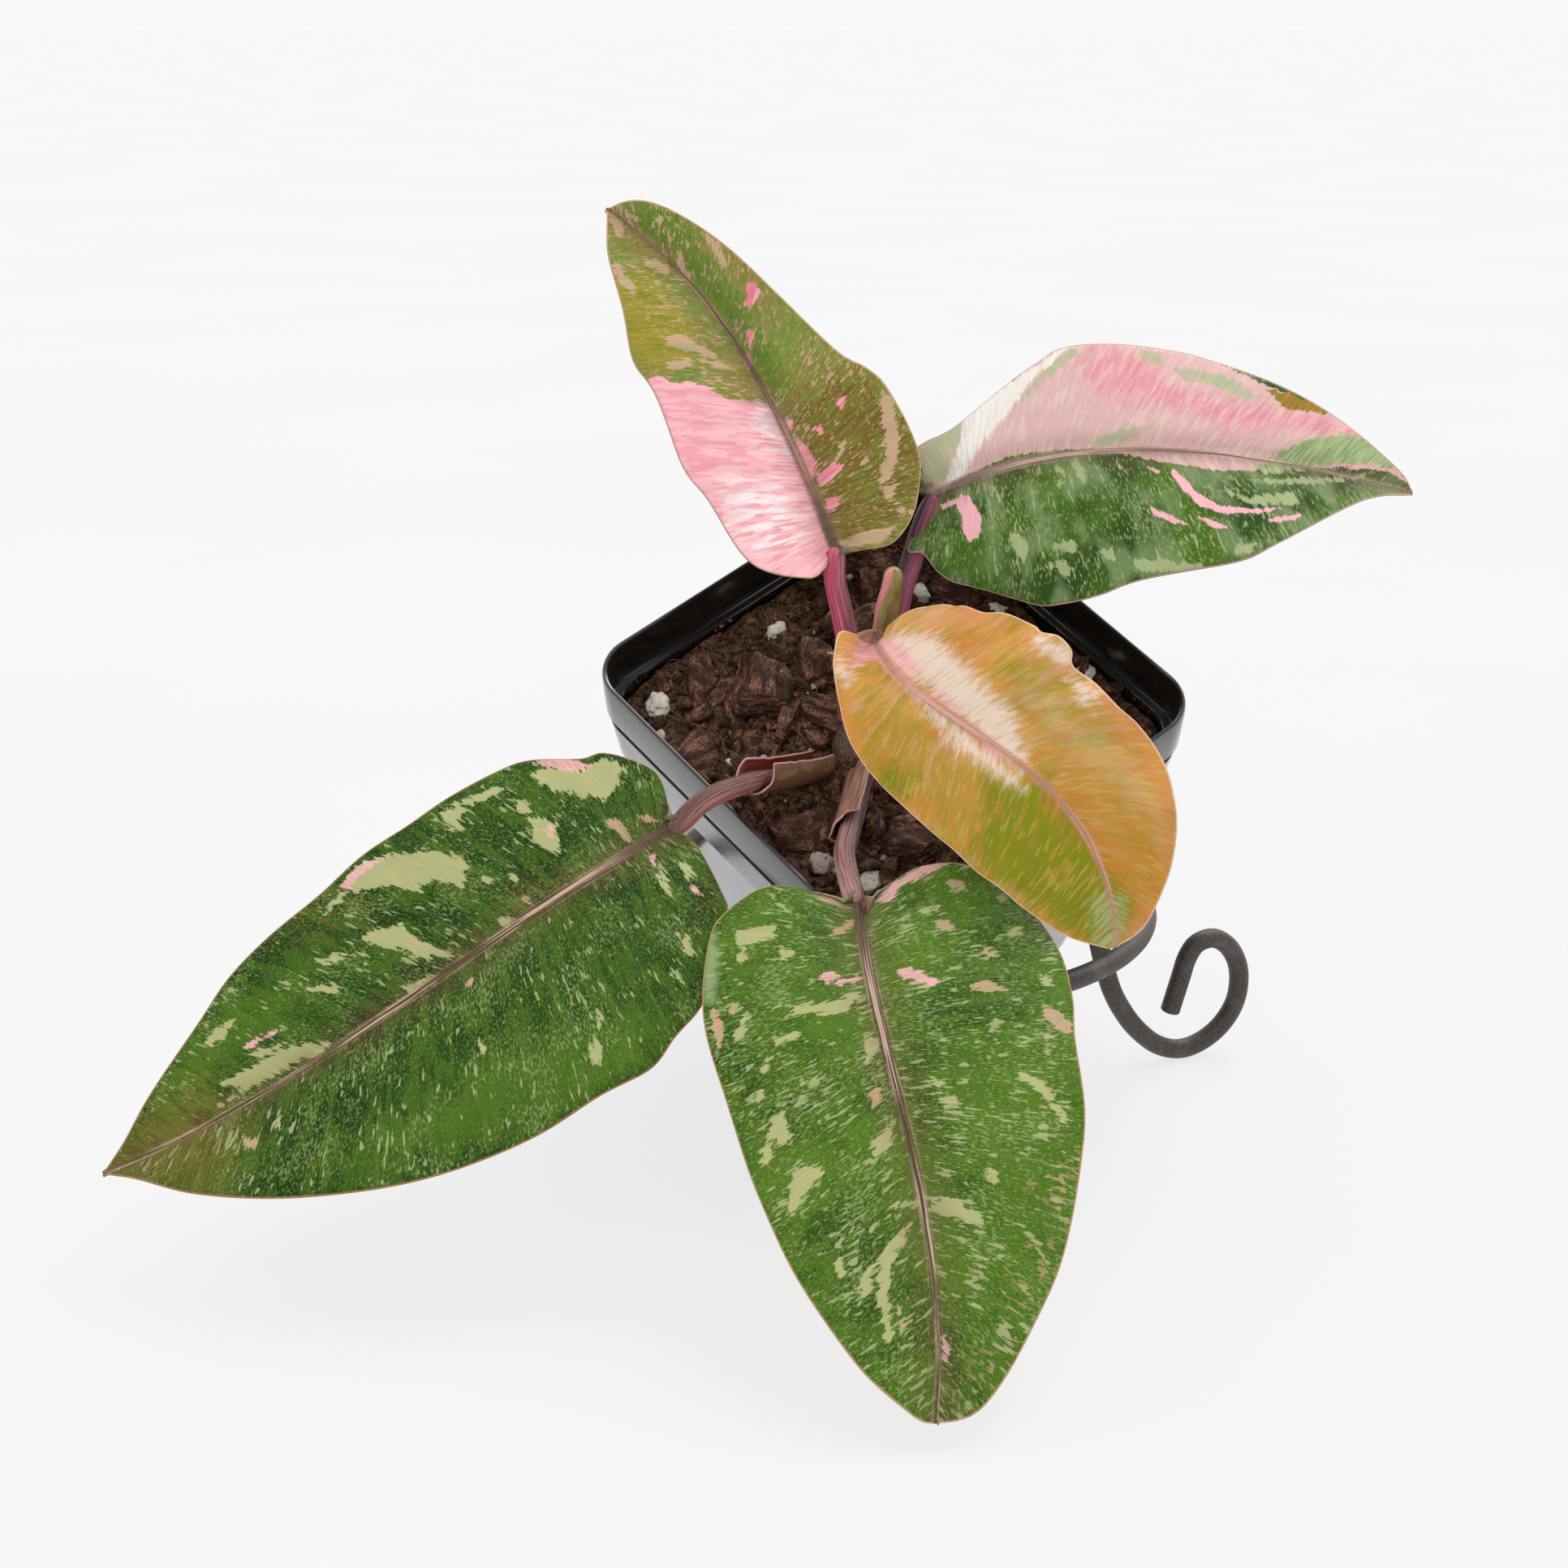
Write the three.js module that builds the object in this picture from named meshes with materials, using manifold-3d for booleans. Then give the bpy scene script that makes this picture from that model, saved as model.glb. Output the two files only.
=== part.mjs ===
// A small variegated aroid with five leaves in a square nursery pot. The pot leans back in a
// scrolled wire stand, so that the leaves face the front. Millimetres, +Z up, the table at z = 0.

import * as THREE from "three";
import { mergeVertices } from "three/addons/utils/BufferGeometryUtils.js";
import Module from "manifold-3d";

const wasm = await Module();
wasm.setup();

// Driving dimensions
const GAP = 0.3; // clearance between neighbouring pieces
const DEGREE = Math.PI / 180;

const POT_TOP = 102; // width over the rim
const POT_BASE = 76;
const POT_HEIGHT = 99;
const POT_WALL = 1.2;
const POT_CORNER = 11;
const RIM_BAND = 12.4; // height of the band under the rim
const SECOND_BAND = 26.5; // depth of the lower edge of the band below it
const INNER_LEDGE = 1.7; // width of the step inside, behind the rim band
const DRAIN_RADIUS = 4;
const DRAIN_OFFSET = 25;
const DRAIN_SIDES = 12;
const POT_TILT = 36.34 * DEGREE;
const POT_LEANS_TOWARDS = -91.77 * DEGREE;
const POT_TURN = 39.32 * DEGREE;
const RIM_CENTRE = new THREE.Vector3(-1.86, -32.85, 108.97);

const SOIL_DEPTH = 14.8; // below the rim
const CROWN_PLACE = new THREE.Vector2(-10.5, -1.5); // in the pot's own plane
const CROWN_RADIUS = 7;
const CROWN_SIDES = 12;

const WIRE = 5; // diameter of the stand's wire
const WIRE_SIDES = 8;
const RING_STEPS = 60;
const LEG_STEPS = 38;
const RING_RADIUS = 64.3;
const RING_HEIGHT = 42.2;
const FOOT = new THREE.Vector2(75.2, -1); // where the right leg touches the table
const LEG_PLANE = 21 * DEGREE; // the direction that its scroll faces
const LEG_TURNS = { right: 0, left: 120, front: -113 };

const BLADE_THICKNESS = 0.9;
const BLADE_SHARES = [1, 0.72, 0.4, 0.12]; // points across half a blade, from the edge inwards
const ROOT_CROWDING = 1.6; // how much the side veins crowd towards the stalk
const RIB_AT_STALK = 1.6; // how far the midrib stands out below the blade
const RIB_AT_TIP = 0.1;
const TIP_HALF_WIDTH = 0.5;
const STALK_STEP = 3.5; // distance between the rings of a stalk
const STALK_SIDES = 10;

const SHEATH_THICKNESS = 0.7;
const SHEATH_STEPS = 8;
const SHEATH_FLARE = 0.4; // how much wider a sheath is at its free end
const SHEATH_END_SPREAD = 0.6; // how much of its reach is left there
const SHEATH_ROOM = 0.8; // kept free of the mix outside a sheath

const CHIP_LEAN = 0.3; // how far a chip may lie askew, in radians
const CHIP_SINK = 0.12; // how high its middle lies over the mix, as a share of its height
const GRAIN_SINK = 0.15;
const GRAIN_SHAPE = [1, 0.85, 0.75]; // length, width and height of a perlite grain for its size
const GRAIN_TURN = 40; // each grain is turned this much more than the one before
const FIRST_GRAIN_SEED = 31;

const IRON = { color: 0x4a4340, roughness: 0.6, metalness: 0.7 };
const BLACK_PLASTIC = { color: 0x141516, roughness: 0.35, metalness: 0 };
const PEAT = { color: 0x2f1d13, roughness: 0.95, metalness: 0 };
const BARK = { color: 0x5a3a2e, roughness: 0.9, metalness: 0 };
const PERLITE = { color: 0xe8e2da, roughness: 0.9, metalness: 0 };
const STEM = { color: 0x6e5a3c, roughness: 0.5, metalness: 0 };
const SHEATH = { color: 0xa5705f, roughness: 0.6, metalness: 0 };

// Leaves. The midrib is a cubic curve of four points. Each edge is an outline of distances
// along the midrib and away from it. The top face looks along a vector that turns from the
// stalk to the tip. The halves rise from the midrib by the fold and curve back down.
const LEAVES = {
  a: {
    midrib: [[-15, -28.5, 139.5], [-25.5, -4.5, 162.5], [-39, 17, 191.5], [-70, 30.5, 211]],
    faceAtStalk: [0.05, -0.8, 0.6],
    faceAtTip: [-0.05, -0.75, 0.66],
    fold: 12,
    curl: 0.003,
    wave: { height: 0.5, count: 3 },
    stations: 22,
    left: [
      [-4.5, 4], [-6.5, 9], [0.5, 20.5], [21, 24.5], [33.5, 27], [57, 24.5], [69, 24.5],
      [82.5, 19], [99.5, 10.5], [109.5, 0],
    ],
    right: [
      [-1, 3], [-3, 7.5], [-3.5, 13], [1, 19], [8, 23.5], [17.5, 27], [33.5, 26.5], [40, 24.5],
      [47.5, 20], [66.5, 15], [84.5, 12.5], [95, 10.5], [102.5, 8], [107, 4.5], [109.5, 0],
    ],
    stalk: [
      [-10.5, -29, 96.5], [-10.5, -28.5, 104], [-11, -28, 112], [-12, -28.5, 118],
      [-13.5, -29, 125.5], [-15, -29, 132.5], [-15, -29, 139],
    ],
    stalkRadii: [2.8, 2.7, 2.6, 2.5],
    bladeColor: 0x85803a,
    stalkColor: 0xc0566b,
  },
  b: {
    midrib: [[8, -15, 149], [41, -20, 168.5], [86.5, -22.5, 159.5], [119.5, -15, 150]],
    faceAtStalk: [0, -0.72, 0.7],
    faceAtTip: [0.15, -0.7, 0.7],
    fold: 10,
    curl: 0.005,
    wave: { height: 0.6, count: 3 },
    stations: 22,
    left: [
      [-3, 3], [-7, 7], [-6, 11], [2, 13.5], [11, 15], [28, 26], [36, 30], [56, 29], [68, 26],
      [94, 16], [111, 5.5], [115, 0.5],
    ],
    right: [
      [-3, 2], [-10, 10], [-7, 13], [-5, 20], [0, 26], [17, 37], [27, 39], [37, 38], [47, 35],
      [70, 30], [81, 23], [102, 6], [115, 0.5],
    ],
    stalk: [
      [-6.5, -28, 96], [-5, -26, 105.5], [-3, -24, 115], [-0.5, -22.5, 122], [1, -21.5, 129],
      [3, -19.5, 135], [5.5, -17, 142.5], [8, -15, 148.5],
    ],
    stalkRadii: [2.8, 2.7, 2.6, 2.5],
    bladeColor: 0x8f9a72,
    stalkColor: 0x5b4045,
  },
  c: {
    midrib: [[-6.5, -51, 122.5], [4.5, -77.5, 109], [40.5, -96, 111.5], [43, -97.5, 69.5]],
    faceAtStalk: [0, -0.92, 0.4],
    faceAtTip: [0.25, -0.93, 0.25],
    fold: 8,
    curl: 0.005,
    wave: { height: 0.9, count: 7 },
    stations: 34,
    left: [
      [-3.5, 4.5], [-4.5, 9.5], [-3.5, 14.5], [0, 20], [13.5, 23.5], [24, 26], [30.5, 27],
      [33, 26.5], [37.5, 27.5], [41.5, 26.5], [43.5, 24], [48.5, 24], [54.5, 23], [58.5, 23.5],
      [63, 23.5], [67, 22.5], [71, 20.5], [76, 18], [80.5, 15], [85.5, 10.5], [90, 7],
      [92, 4.5], [94, 0],
    ],
    right: [
      [-2, 1.5], [-6, 2.5], [-8, 6], [5, 12.5], [18, 19], [32, 22], [51, 23.5], [63.5, 23],
      [76, 20], [84.5, 15.5], [90, 10], [94, 2],
    ],
    stalk: [[-8.5, -31, 96], [-7.5, -37, 104.5], [-6.5, -43.5, 113.5], [-6.5, -51, 122]],
    stalkRadii: [2.6, 2.4, 2.3],
    bladeColor: 0xcf9a4c,
    stalkColor: 0xd98a90,
  },
  d: {
    midrib: [[-51, -74, 87.5], [-91.5, -95.5, 71.5], [-127, -110, 41], [-170.5, -109.5, 23]],
    faceAtStalk: [-0.1, -0.66, 0.74],
    faceAtTip: [-0.3, -0.62, 0.72],
    fold: 9,
    curl: 0.004,
    wave: { height: 0.6, count: 3 },
    stations: 24,
    left: [
      [-1, 1], [-2, 7], [0, 20], [2, 26], [10, 33], [18, 40], [27, 43], [35, 46], [46, 45],
      [62, 44], [83, 38], [103, 28], [122, 15], [134, 5], [142, 0],
    ],
    right: [
      [-1, 3], [-4, 10], [-4, 16], [2, 25], [7, 27], [16, 34], [23, 36], [35, 37], [46, 37],
      [59, 38], [72, 36], [86, 34], [100, 30], [111, 24], [121, 18], [129, 12], [136, 5],
      [142, 0],
    ],
    stalk: [
      [-14.5, -33, 90], [-20.5, -39.5, 90], [-26, -46.5, 91], [-31.5, -53.5, 92.5],
      [-36, -59.5, 93], [-41.5, -66, 93], [-45.5, -69.5, 91.5], [-50.5, -74, 87.5],
    ],
    stalkRadii: [1.7, 1.6, 1.6, 1.7, 2.3, 2.4, 2.4, 2.4],
    bladeColor: 0x3f6a30,
    stalkColor: 0x83605a,
  },
  e: {
    midrib: [[-11, -93.2, 77.4], [-9, -124.2, 57.9], [6, -154.2, 36.9], [1.5, -175.7, 5.4]],
    faceAtStalk: [0.02, -0.82, 0.57],
    faceAtTip: [0.02, -0.95, 0.31],
    fold: 8,
    curl: 0.0045,
    wave: { height: 0.6, count: 3 },
    stations: 22,
    left: [
      [-0.5, 2], [-7, 10.5], [-9, 16.5], [-9, 22.5], [-6.5, 28.5], [-1, 34.5], [9, 38.5],
      [20, 40.5], [32, 40], [41.5, 38], [56, 36], [66.5, 32.5], [82.5, 25.5], [93, 19],
      [108, 8.5], [111.5, 0],
    ],
    right: [
      [-1, 4], [-5, 15], [-4.5, 21.5], [0, 28], [5, 32], [21.5, 35.5], [40.5, 34], [62, 31.5],
      [83, 26], [101.5, 15.5], [110.5, 4.5], [111.5, 0],
    ],
    stalk: [
      [-7, -36, 90.5], [-9, -42.5, 88], [-10.5, -51.5, 85], [-12.5, -66, 83],
      [-13.5, -73.5, 82], [-13, -83, 80.2], [-11.5, -92.2, 77.4],
    ],
    stalkRadii: [2.6, 2.5, 2.4, 2.4],
    bladeColor: 0x4f7a38,
    stalkColor: 0x8a6a6c,
  },
};

// The rolled young leaf beside the youngest stalk, and its half thickness along it.
const NEW_LEAF = {
  path: [[-6.5, -32, 99.5], [-6, -35, 110], [-4.5, -37.5, 118.5], [-3.5, -41, 127.5], [-2.5, -43.5, 136.5]],
  radii: [2, 2.4, 2.6, 2.6, 2.4, 1.4],
};

// Leaf sheaths wrap a stretch of a stalk. Each has the side that it covers, how far round it
// reaches on both sides of that, and how high its own middle lies over the stalk's.
const SHEATHS = {
  a: { stretch: [0.06, 0.46], side: [-0.6, -0.8, 0.1], spread: 80, radius: 3.1, lift: 0 },
  d: { stretch: [0.08, 0.54], side: [0.1, -0.35, -0.93], spread: 108, radius: 3.1, lift: 1.1 },
  e: { stretch: [0.1, 0.5], side: [-0.8, -0.5, 0.35], spread: 82, radius: 3, lift: 0 },
};

// Bark in the top of the mix: place in the pot's plane, length, width, height and turn.
const BROKEN_BARK = [0.62, 0.34]; // how blocky and how rough
const BARK_CHIPS = [
  [-17, 27, 19, 15, 9, 52],
  [-27.5, 24, 19, 4.5, 5, 60],
  [-17, 16.5, 19, 4.5, 5, 35],
  [-10, 12, 11, 9, 6, 108],
  [-3, 25, 16, 10, 7, 50],
  [-37, -12, 15, 9, 6, 144],
  [-21, -30, 15, 12, 8, 140],
  [-25, -21, 16, 7, 5, 34],
  [-41, 22, 12, 8, 5, 107],
  [-27, 38, 16, 6, 5, 52],
  [25, 36, 17, 7, 6, 51],
  [15, 26, 13, 10, 6, 143],
  [10, -32, 16, 9, 6, 20],
  [29, -10, 18, 10, 7, 70],
  [37, 20, 14, 7, 5, 110],
  [7, -14, 12, 7, 6, -20],
  [19, 7, 15, 9, 6, 40],
];

// Perlite grains: place in the pot's plane and size.
const ROUND_GRAIN = [1, 0.3];
const PERLITE_GRAINS = [
  [-3, 38.5, 4.5],
  [-39, 39, 6.5],
  [42, 8, 6],
  [31, 25, 5.5],
  [44, -20, 5],
  [-34, -32, 5.5],
  [-39, -21, 6],
];

// A closed mesh whose equal vertices are shared.
function welded(geometry) {
  const bare = geometry.clone();
  bare.deleteAttribute("normal");
  bare.deleteAttribute("uv");
  return mergeVertices(bare, 1e-4);
}

function solidOf(geometry) {
  const closed = welded(geometry);
  return new wasm.Manifold(
    new wasm.Mesh({
      numProp: 3,
      vertProperties: closed.attributes.position.array,
      triVerts: new Uint32Array(closed.index.array),
    }),
  );
}

function geometryOf(solid) {
  const mesh = solid.getMesh();
  const geometry = new THREE.BufferGeometry();
  geometry.setAttribute("position", new THREE.BufferAttribute(mesh.vertProperties, 3));
  geometry.setIndex(new THREE.BufferAttribute(mesh.triVerts, 1));
  const flat = geometry.toNonIndexed();
  flat.computeVertexNormals();
  return flat;
}

// What is left of a solid after its neighbours are cut away, without loose scraps.
function cutBy(solid, cutters) {
  const rest = cutters.reduce((left, cutter) => left.subtract(cutter), solid);
  const bodies = rest.decompose();
  bodies.sort((one, other) => other.volume() - one.volume());
  return bodies[0];
}

function indexed(positions, triangles) {
  const geometry = new THREE.BufferGeometry();
  const flat = positions.flatMap((point) => [point.x, point.y, point.z]);
  geometry.setAttribute("position", new THREE.Float32BufferAttribute(flat, 3));
  geometry.setIndex(triangles);
  return geometry;
}

// A closed body through rings of points, each ring turning left seen from the next one.
function loft(rings) {
  const count = rings[0].length;
  const positions = rings.flat();
  const triangles = [];
  for (let ring = 0; ring < rings.length - 1; ring++) {
    for (let i = 0; i < count; i++) {
      const here = ring * count + i;
      const beside = ring * count + ((i + 1) % count);
      triangles.push(here, beside, here + count);
      triangles.push(beside, beside + count, here + count);
    }
  }
  const last = (rings.length - 1) * count;
  const startCentre = positions.length;
  positions.push(centreOf(rings[0]));
  positions.push(centreOf(rings[rings.length - 1]));
  for (let i = 0; i < count; i++) {
    const next = (i + 1) % count;
    triangles.push(startCentre, next, i);
    triangles.push(startCentre + 1, last + i, last + next);
  }
  return indexed(positions, triangles);
}

function centreOf(points) {
  const sum = points.reduce((total, point) => total.add(point), new THREE.Vector3());
  return sum.divideScalar(points.length);
}

// A sheet of even thickness under a grid of points. The points run from base to tip in rows,
// each row from left to right. Ribs make it thicker below.
function sheet(rows, thickness, rib) {
  const across = rows[0].length;
  const top = rows.flat();
  const bottom = [];
  rows.forEach((row, i) => {
    row.forEach((point, j) => {
      const along = rows[Math.min(i + 1, rows.length - 1)][j].clone();
      along.sub(rows[Math.max(i - 1, 0)][j]);
      const sideways = row[Math.min(j + 1, across - 1)].clone();
      sideways.sub(row[Math.max(j - 1, 0)]);
      const normal = sideways.cross(along).normalize();
      bottom.push(point.clone().addScaledVector(normal, -thickness - rib(i, j)));
    });
  });
  const under = top.length;
  const triangles = [];
  for (let i = 0; i < rows.length - 1; i++) {
    for (let j = 0; j < across - 1; j++) {
      const a = i * across + j;
      const b = a + 1;
      const c = a + across;
      const d = c + 1;
      triangles.push(a, b, c, b, d, c);
      triangles.push(under + a, under + c, under + b, under + b, under + c, under + d);
    }
  }
  const wall = (from, to) => {
    triangles.push(from, under + from, to, to, under + from, under + to);
  };
  const lastRow = (rows.length - 1) * across;
  for (let j = 0; j < across - 1; j++) {
    wall(j, j + 1);
    wall(lastRow + j + 1, lastRow + j);
  }
  for (let i = 0; i < rows.length - 1; i++) {
    wall((i + 1) * across, i * across);
    wall((i + 1) * across - 1, (i + 2) * across - 1);
  }
  return indexed([...top, ...bottom], triangles);
}

function vectors(points) {
  return points.map((point) => new THREE.Vector3(...point));
}

// A round stalk along a path, with its radii spread evenly from start to end. Growth makes
// it thicker and a little longer, to cut its seat in a neighbour.
function stalk(path, radii, growth = 0) {
  const curve = new THREE.CatmullRomCurve3(vectors(path));
  const steps = Math.round(curve.getLength() / STALK_STEP);
  const frames = curve.computeFrenetFrames(steps, false);
  const rings = [];
  for (let step = 0; step <= steps; step++) {
    const centre = curve.getPointAt(step / steps);
    if (step === 0) centre.addScaledVector(frames.tangents[0], -growth);
    if (step === steps) centre.addScaledVector(frames.tangents[steps], growth);
    const radius = spread(radii, step / steps) + growth;
    const ring = [];
    for (let side = 0; side < STALK_SIDES; side++) {
      const angle = (side / STALK_SIDES) * 2 * Math.PI;
      const point = centre.clone();
      point.addScaledVector(frames.normals[step], radius * Math.cos(angle));
      point.addScaledVector(frames.binormals[step], radius * Math.sin(angle));
      ring.push(point);
    }
    rings.push(ring);
  }
  return solidOf(loft(rings));
}

// A value between the listed ones, at a share of the way through the list.
function spread(values, share) {
  const place = share * (values.length - 1);
  const index = Math.min(Math.floor(place), values.length - 2);
  return THREE.MathUtils.lerp(values[index], values[index + 1], place - index);
}

// Pot
const pot = new THREE.Group();
const tiltAxis = new THREE.Vector3(-Math.sin(POT_LEANS_TOWARDS), Math.cos(POT_LEANS_TOWARDS), 0);
pot.position.copy(RIM_CENTRE);
pot.quaternion.setFromAxisAngle(tiltAxis, POT_TILT);
pot.rotateZ(POT_TURN);
pot.updateMatrixWorld(true);
const toPot = pot.matrixWorld.clone().invert();

function roundedSquare(half, corner, height) {
  const steps = 4;
  const ring = [];
  for (let quarter = 0; quarter < 4; quarter++) {
    for (let step = 0; step <= steps; step++) {
      const angle = (quarter + step / steps) * (Math.PI / 2);
      const x = [1, -1, -1, 1][quarter] * (half - corner) + corner * Math.cos(angle);
      const y = [1, 1, -1, -1][quarter] * (half - corner) + corner * Math.sin(angle);
      ring.push(new THREE.Vector3(x, y, height));
    }
  }
  return ring;
}

const rimHalf = POT_TOP / 2;
const baseHalf = POT_BASE / 2;
const bandHalf = rimHalf - 1.4; // the second band stands back from the rim band
const wallHalf = rimHalf - 2.5;
const innerBandHalf = rimHalf - POT_WALL - 0.2;
const ledgeHalf = innerBandHalf - INNER_LEDGE;
const innerWallHalf = wallHalf - POT_WALL;
const innerBaseHalf = baseHalf - POT_WALL;
const innerFloor = POT_WALL - POT_HEIGHT;
const innerCorner = POT_CORNER - POT_WALL;

// The shell is followed up the outside, over the rim and down the inside. Two bands step back
// under the rim, and a groove parts them.
function nurseryPot() {
  const shell = loft([
    roundedSquare(baseHalf - 1, POT_CORNER, -POT_HEIGHT),
    roundedSquare(baseHalf, POT_CORNER + 1, 1 - POT_HEIGHT),
    roundedSquare(wallHalf, POT_CORNER, -SECOND_BAND - 0.5),
    roundedSquare(wallHalf + 0.4, POT_CORNER, -SECOND_BAND),
    roundedSquare(bandHalf, POT_CORNER, -RIM_BAND - 0.9),
    roundedSquare(bandHalf - 0.5, POT_CORNER, -RIM_BAND - 0.7),
    roundedSquare(bandHalf - 0.5, POT_CORNER, -RIM_BAND),
    roundedSquare(rimHalf - 0.1, POT_CORNER, -RIM_BAND),
    roundedSquare(rimHalf, POT_CORNER, -1.1),
    roundedSquare(rimHalf - 0.25, POT_CORNER - 0.25, -0.3),
    roundedSquare(rimHalf - 0.7, POT_CORNER - 0.7, 0),
    roundedSquare(rimHalf - 1.15, innerCorner + 0.25, -0.3),
    roundedSquare(innerBandHalf, innerCorner, -1.1),
    roundedSquare(innerBandHalf, innerCorner, -RIM_BAND + 0.4),
    roundedSquare(ledgeHalf, innerCorner, -RIM_BAND + 0.1),
    roundedSquare(innerWallHalf, innerCorner, -SECOND_BAND - 0.5),
    roundedSquare(innerBaseHalf, innerCorner, innerFloor),
  ]);
  const drains = [-1, 1].flatMap((sideX) =>
    [-1, 1].map((sideY) => {
      const depth = 3 * POT_WALL;
      const hole = new THREE.CylinderGeometry(DRAIN_RADIUS, DRAIN_RADIUS, depth, DRAIN_SIDES);
      hole.rotateX(Math.PI / 2);
      hole.translate(sideX * DRAIN_OFFSET, sideY * DRAIN_OFFSET, innerFloor);
      return solidOf(hole);
    }),
  );
  return cutBy(solidOf(shell), drains);
}

// Height of the bumpy top of the mix over its mean level
function bumps(x, y) {
  const broad = Math.sin(0.21 * x + 1.3) * Math.cos(0.17 * y - 0.4);
  const middle = Math.sin(0.47 * x - 0.33 * y + 0.8);
  const fine = Math.sin(0.9 * x + 0.4 * y) * Math.sin(0.7 * y - 0.5 * x + 2);
  return 0.9 * broad + 0.45 * middle + 0.45 * fine;
}

// The mix fills the pot from its floor. Its bumpy top closes in rings towards the middle.
function mixBlock() {
  const share = (SOIL_DEPTH + 3 - SECOND_BAND) / (RIM_BAND - SECOND_BAND);
  const edgeHalf = THREE.MathUtils.lerp(innerWallHalf, ledgeHalf, share) - GAP;
  const rings = [
    roundedSquare(innerBaseHalf - GAP, innerCorner, innerFloor + GAP),
    roundedSquare(innerWallHalf - GAP, innerCorner, -SECOND_BAND - 0.5),
    roundedSquare(edgeHalf, innerCorner, -SOIL_DEPTH - 2.5),
  ];
  for (const scale of [0.96, 0.82, 0.67, 0.52, 0.37, 0.22, 0.08]) {
    const ring = roundedSquare(edgeHalf * scale, innerCorner * scale, 0);
    ring.forEach((point) => (point.z = bumps(point.x, point.y) - SOIL_DEPTH));
    rings.push(ring);
  }
  return solidOf(loft(rings));
}

// The thick base of the plant, where the stalks meet: radius and height in the pot's frame.
const CROWN_PROFILE = [
  [2, -45],
  [5.5, -41],
  [CROWN_RADIUS, -30],
  [CROWN_RADIUS, -13.5],
  [5.6, -10.8],
  [3, -9.4],
];

function crown(growth = 0) {
  const ends = [-growth, ...new Array(CROWN_PROFILE.length - 2).fill(0), growth];
  const rings = CROWN_PROFILE.map(([radius, height], index) => {
    const end = ends[index];
    const ring = [];
    for (let side = 0; side < CROWN_SIDES; side++) {
      const angle = (side / CROWN_SIDES) * 2 * Math.PI;
      const x = CROWN_PLACE.x + (radius + growth) * Math.cos(angle);
      const y = CROWN_PLACE.y + (radius + growth) * Math.sin(angle);
      ring.push(new THREE.Vector3(x, y, height + end));
    }
    return ring;
  });
  return solidOf(loft(rings));
}

// A lump: a ball pressed towards a block, with every corner pushed in or out by a seeded draw.
function lump(size, place, turn, squareness, roughness, seed, growth = 0) {
  const ball = welded(new THREE.IcosahedronGeometry(1, 1));
  const draw = randomFrom(seed);
  const points = ball.attributes.position;
  for (let i = 0; i < points.count; i++) {
    const push = 1 + roughness * (draw() - 0.5);
    const corner = ["getX", "getY", "getZ"].map((axis, index) => {
      const value = points[axis](i);
      const pressed = Math.sign(value) * Math.abs(value) ** squareness;
      return pressed * push * (size[index] / 2 + growth);
    });
    points.setXYZ(i, ...corner);
  }
  ball.rotateX(CHIP_LEAN * (draw() - 0.5));
  ball.rotateY(CHIP_LEAN * (draw() - 0.5));
  ball.rotateZ(turn * DEGREE);
  ball.translate(place.x, place.y, place.z);
  return solidOf(ball);
}

// Even draws between 0 and 1 that are the same each time
function randomFrom(seed) {
  let state = seed * 2654435761;
  return () => {
    state = (state * 1664525 + 1013904223) % 4294967296;
    return state / 4294967296;
  };
}

// A leaf's edge as a smooth curve through its outline
function edgeCurve(outline) {
  return new THREE.SplineCurve(outline.map((point) => new THREE.Vector2(...point)));
}

function bladeSolid(leaf) {
  const midrib = new THREE.CubicBezierCurve3(...vectors(leaf.midrib));
  const length = midrib.getLength();
  const edges = { left: edgeCurve(leaf.left), right: edgeCurve(leaf.right) };
  const atStalk = new THREE.Vector3(...leaf.faceAtStalk);
  const atTip = new THREE.Vector3(...leaf.faceAtTip);

  const place = (along, away, sign, lift) => {
    const share = THREE.MathUtils.clamp(along / length, 0, 1);
    const tangent = midrib.getTangentAt(share);
    const point = midrib.getPointAt(share).addScaledVector(tangent, along - share * length);
    const normal = atStalk.clone().lerp(atTip, share);
    normal.addScaledVector(tangent, -normal.dot(tangent)).normalize();
    const sideways = tangent.clone().cross(normal);
    const rise = away * Math.sin(leaf.fold * DEGREE) - leaf.curl * away * away + lift;
    point.addScaledVector(sideways, sign * away * Math.cos(leaf.fold * DEGREE));
    return point.addScaledVector(normal, rise);
  };

  const halfRow = (station, side, sign) => {
    const share = station / leaf.stations;
    const edge = edges[side].getPointAt(share);
    const root = length * share ** ROOT_CROWDING;
    const away = Math.max(edge.y, TIP_HALF_WIDTH);
    const phase = 2 * Math.PI * leaf.wave.count * share + (sign > 0 ? 1 : 0);
    return BLADE_SHARES.map((out) => {
      const lift = leaf.wave.height * out * out * Math.sin(phase) * Math.sin(Math.PI * share);
      return place(THREE.MathUtils.lerp(root, edge.x, out), away * out, sign, lift);
    });
  };

  const rows = [];
  for (let station = 0; station <= leaf.stations; station++) {
    const root = length * (station / leaf.stations) ** ROOT_CROWDING;
    const left = halfRow(station, "left", -1);
    const right = halfRow(station, "right", 1).reverse();
    rows.push([...left, place(root, 0, 1, 0), ...right]);
  }
  const middle = BLADE_SHARES.length;
  const rib = (i, j) => {
    if (j !== middle) return 0;
    return THREE.MathUtils.lerp(RIB_AT_STALK, RIB_AT_TIP, i / leaf.stations);
  };
  return solidOf(sheet(rows, BLADE_THICKNESS, rib));
}

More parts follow.
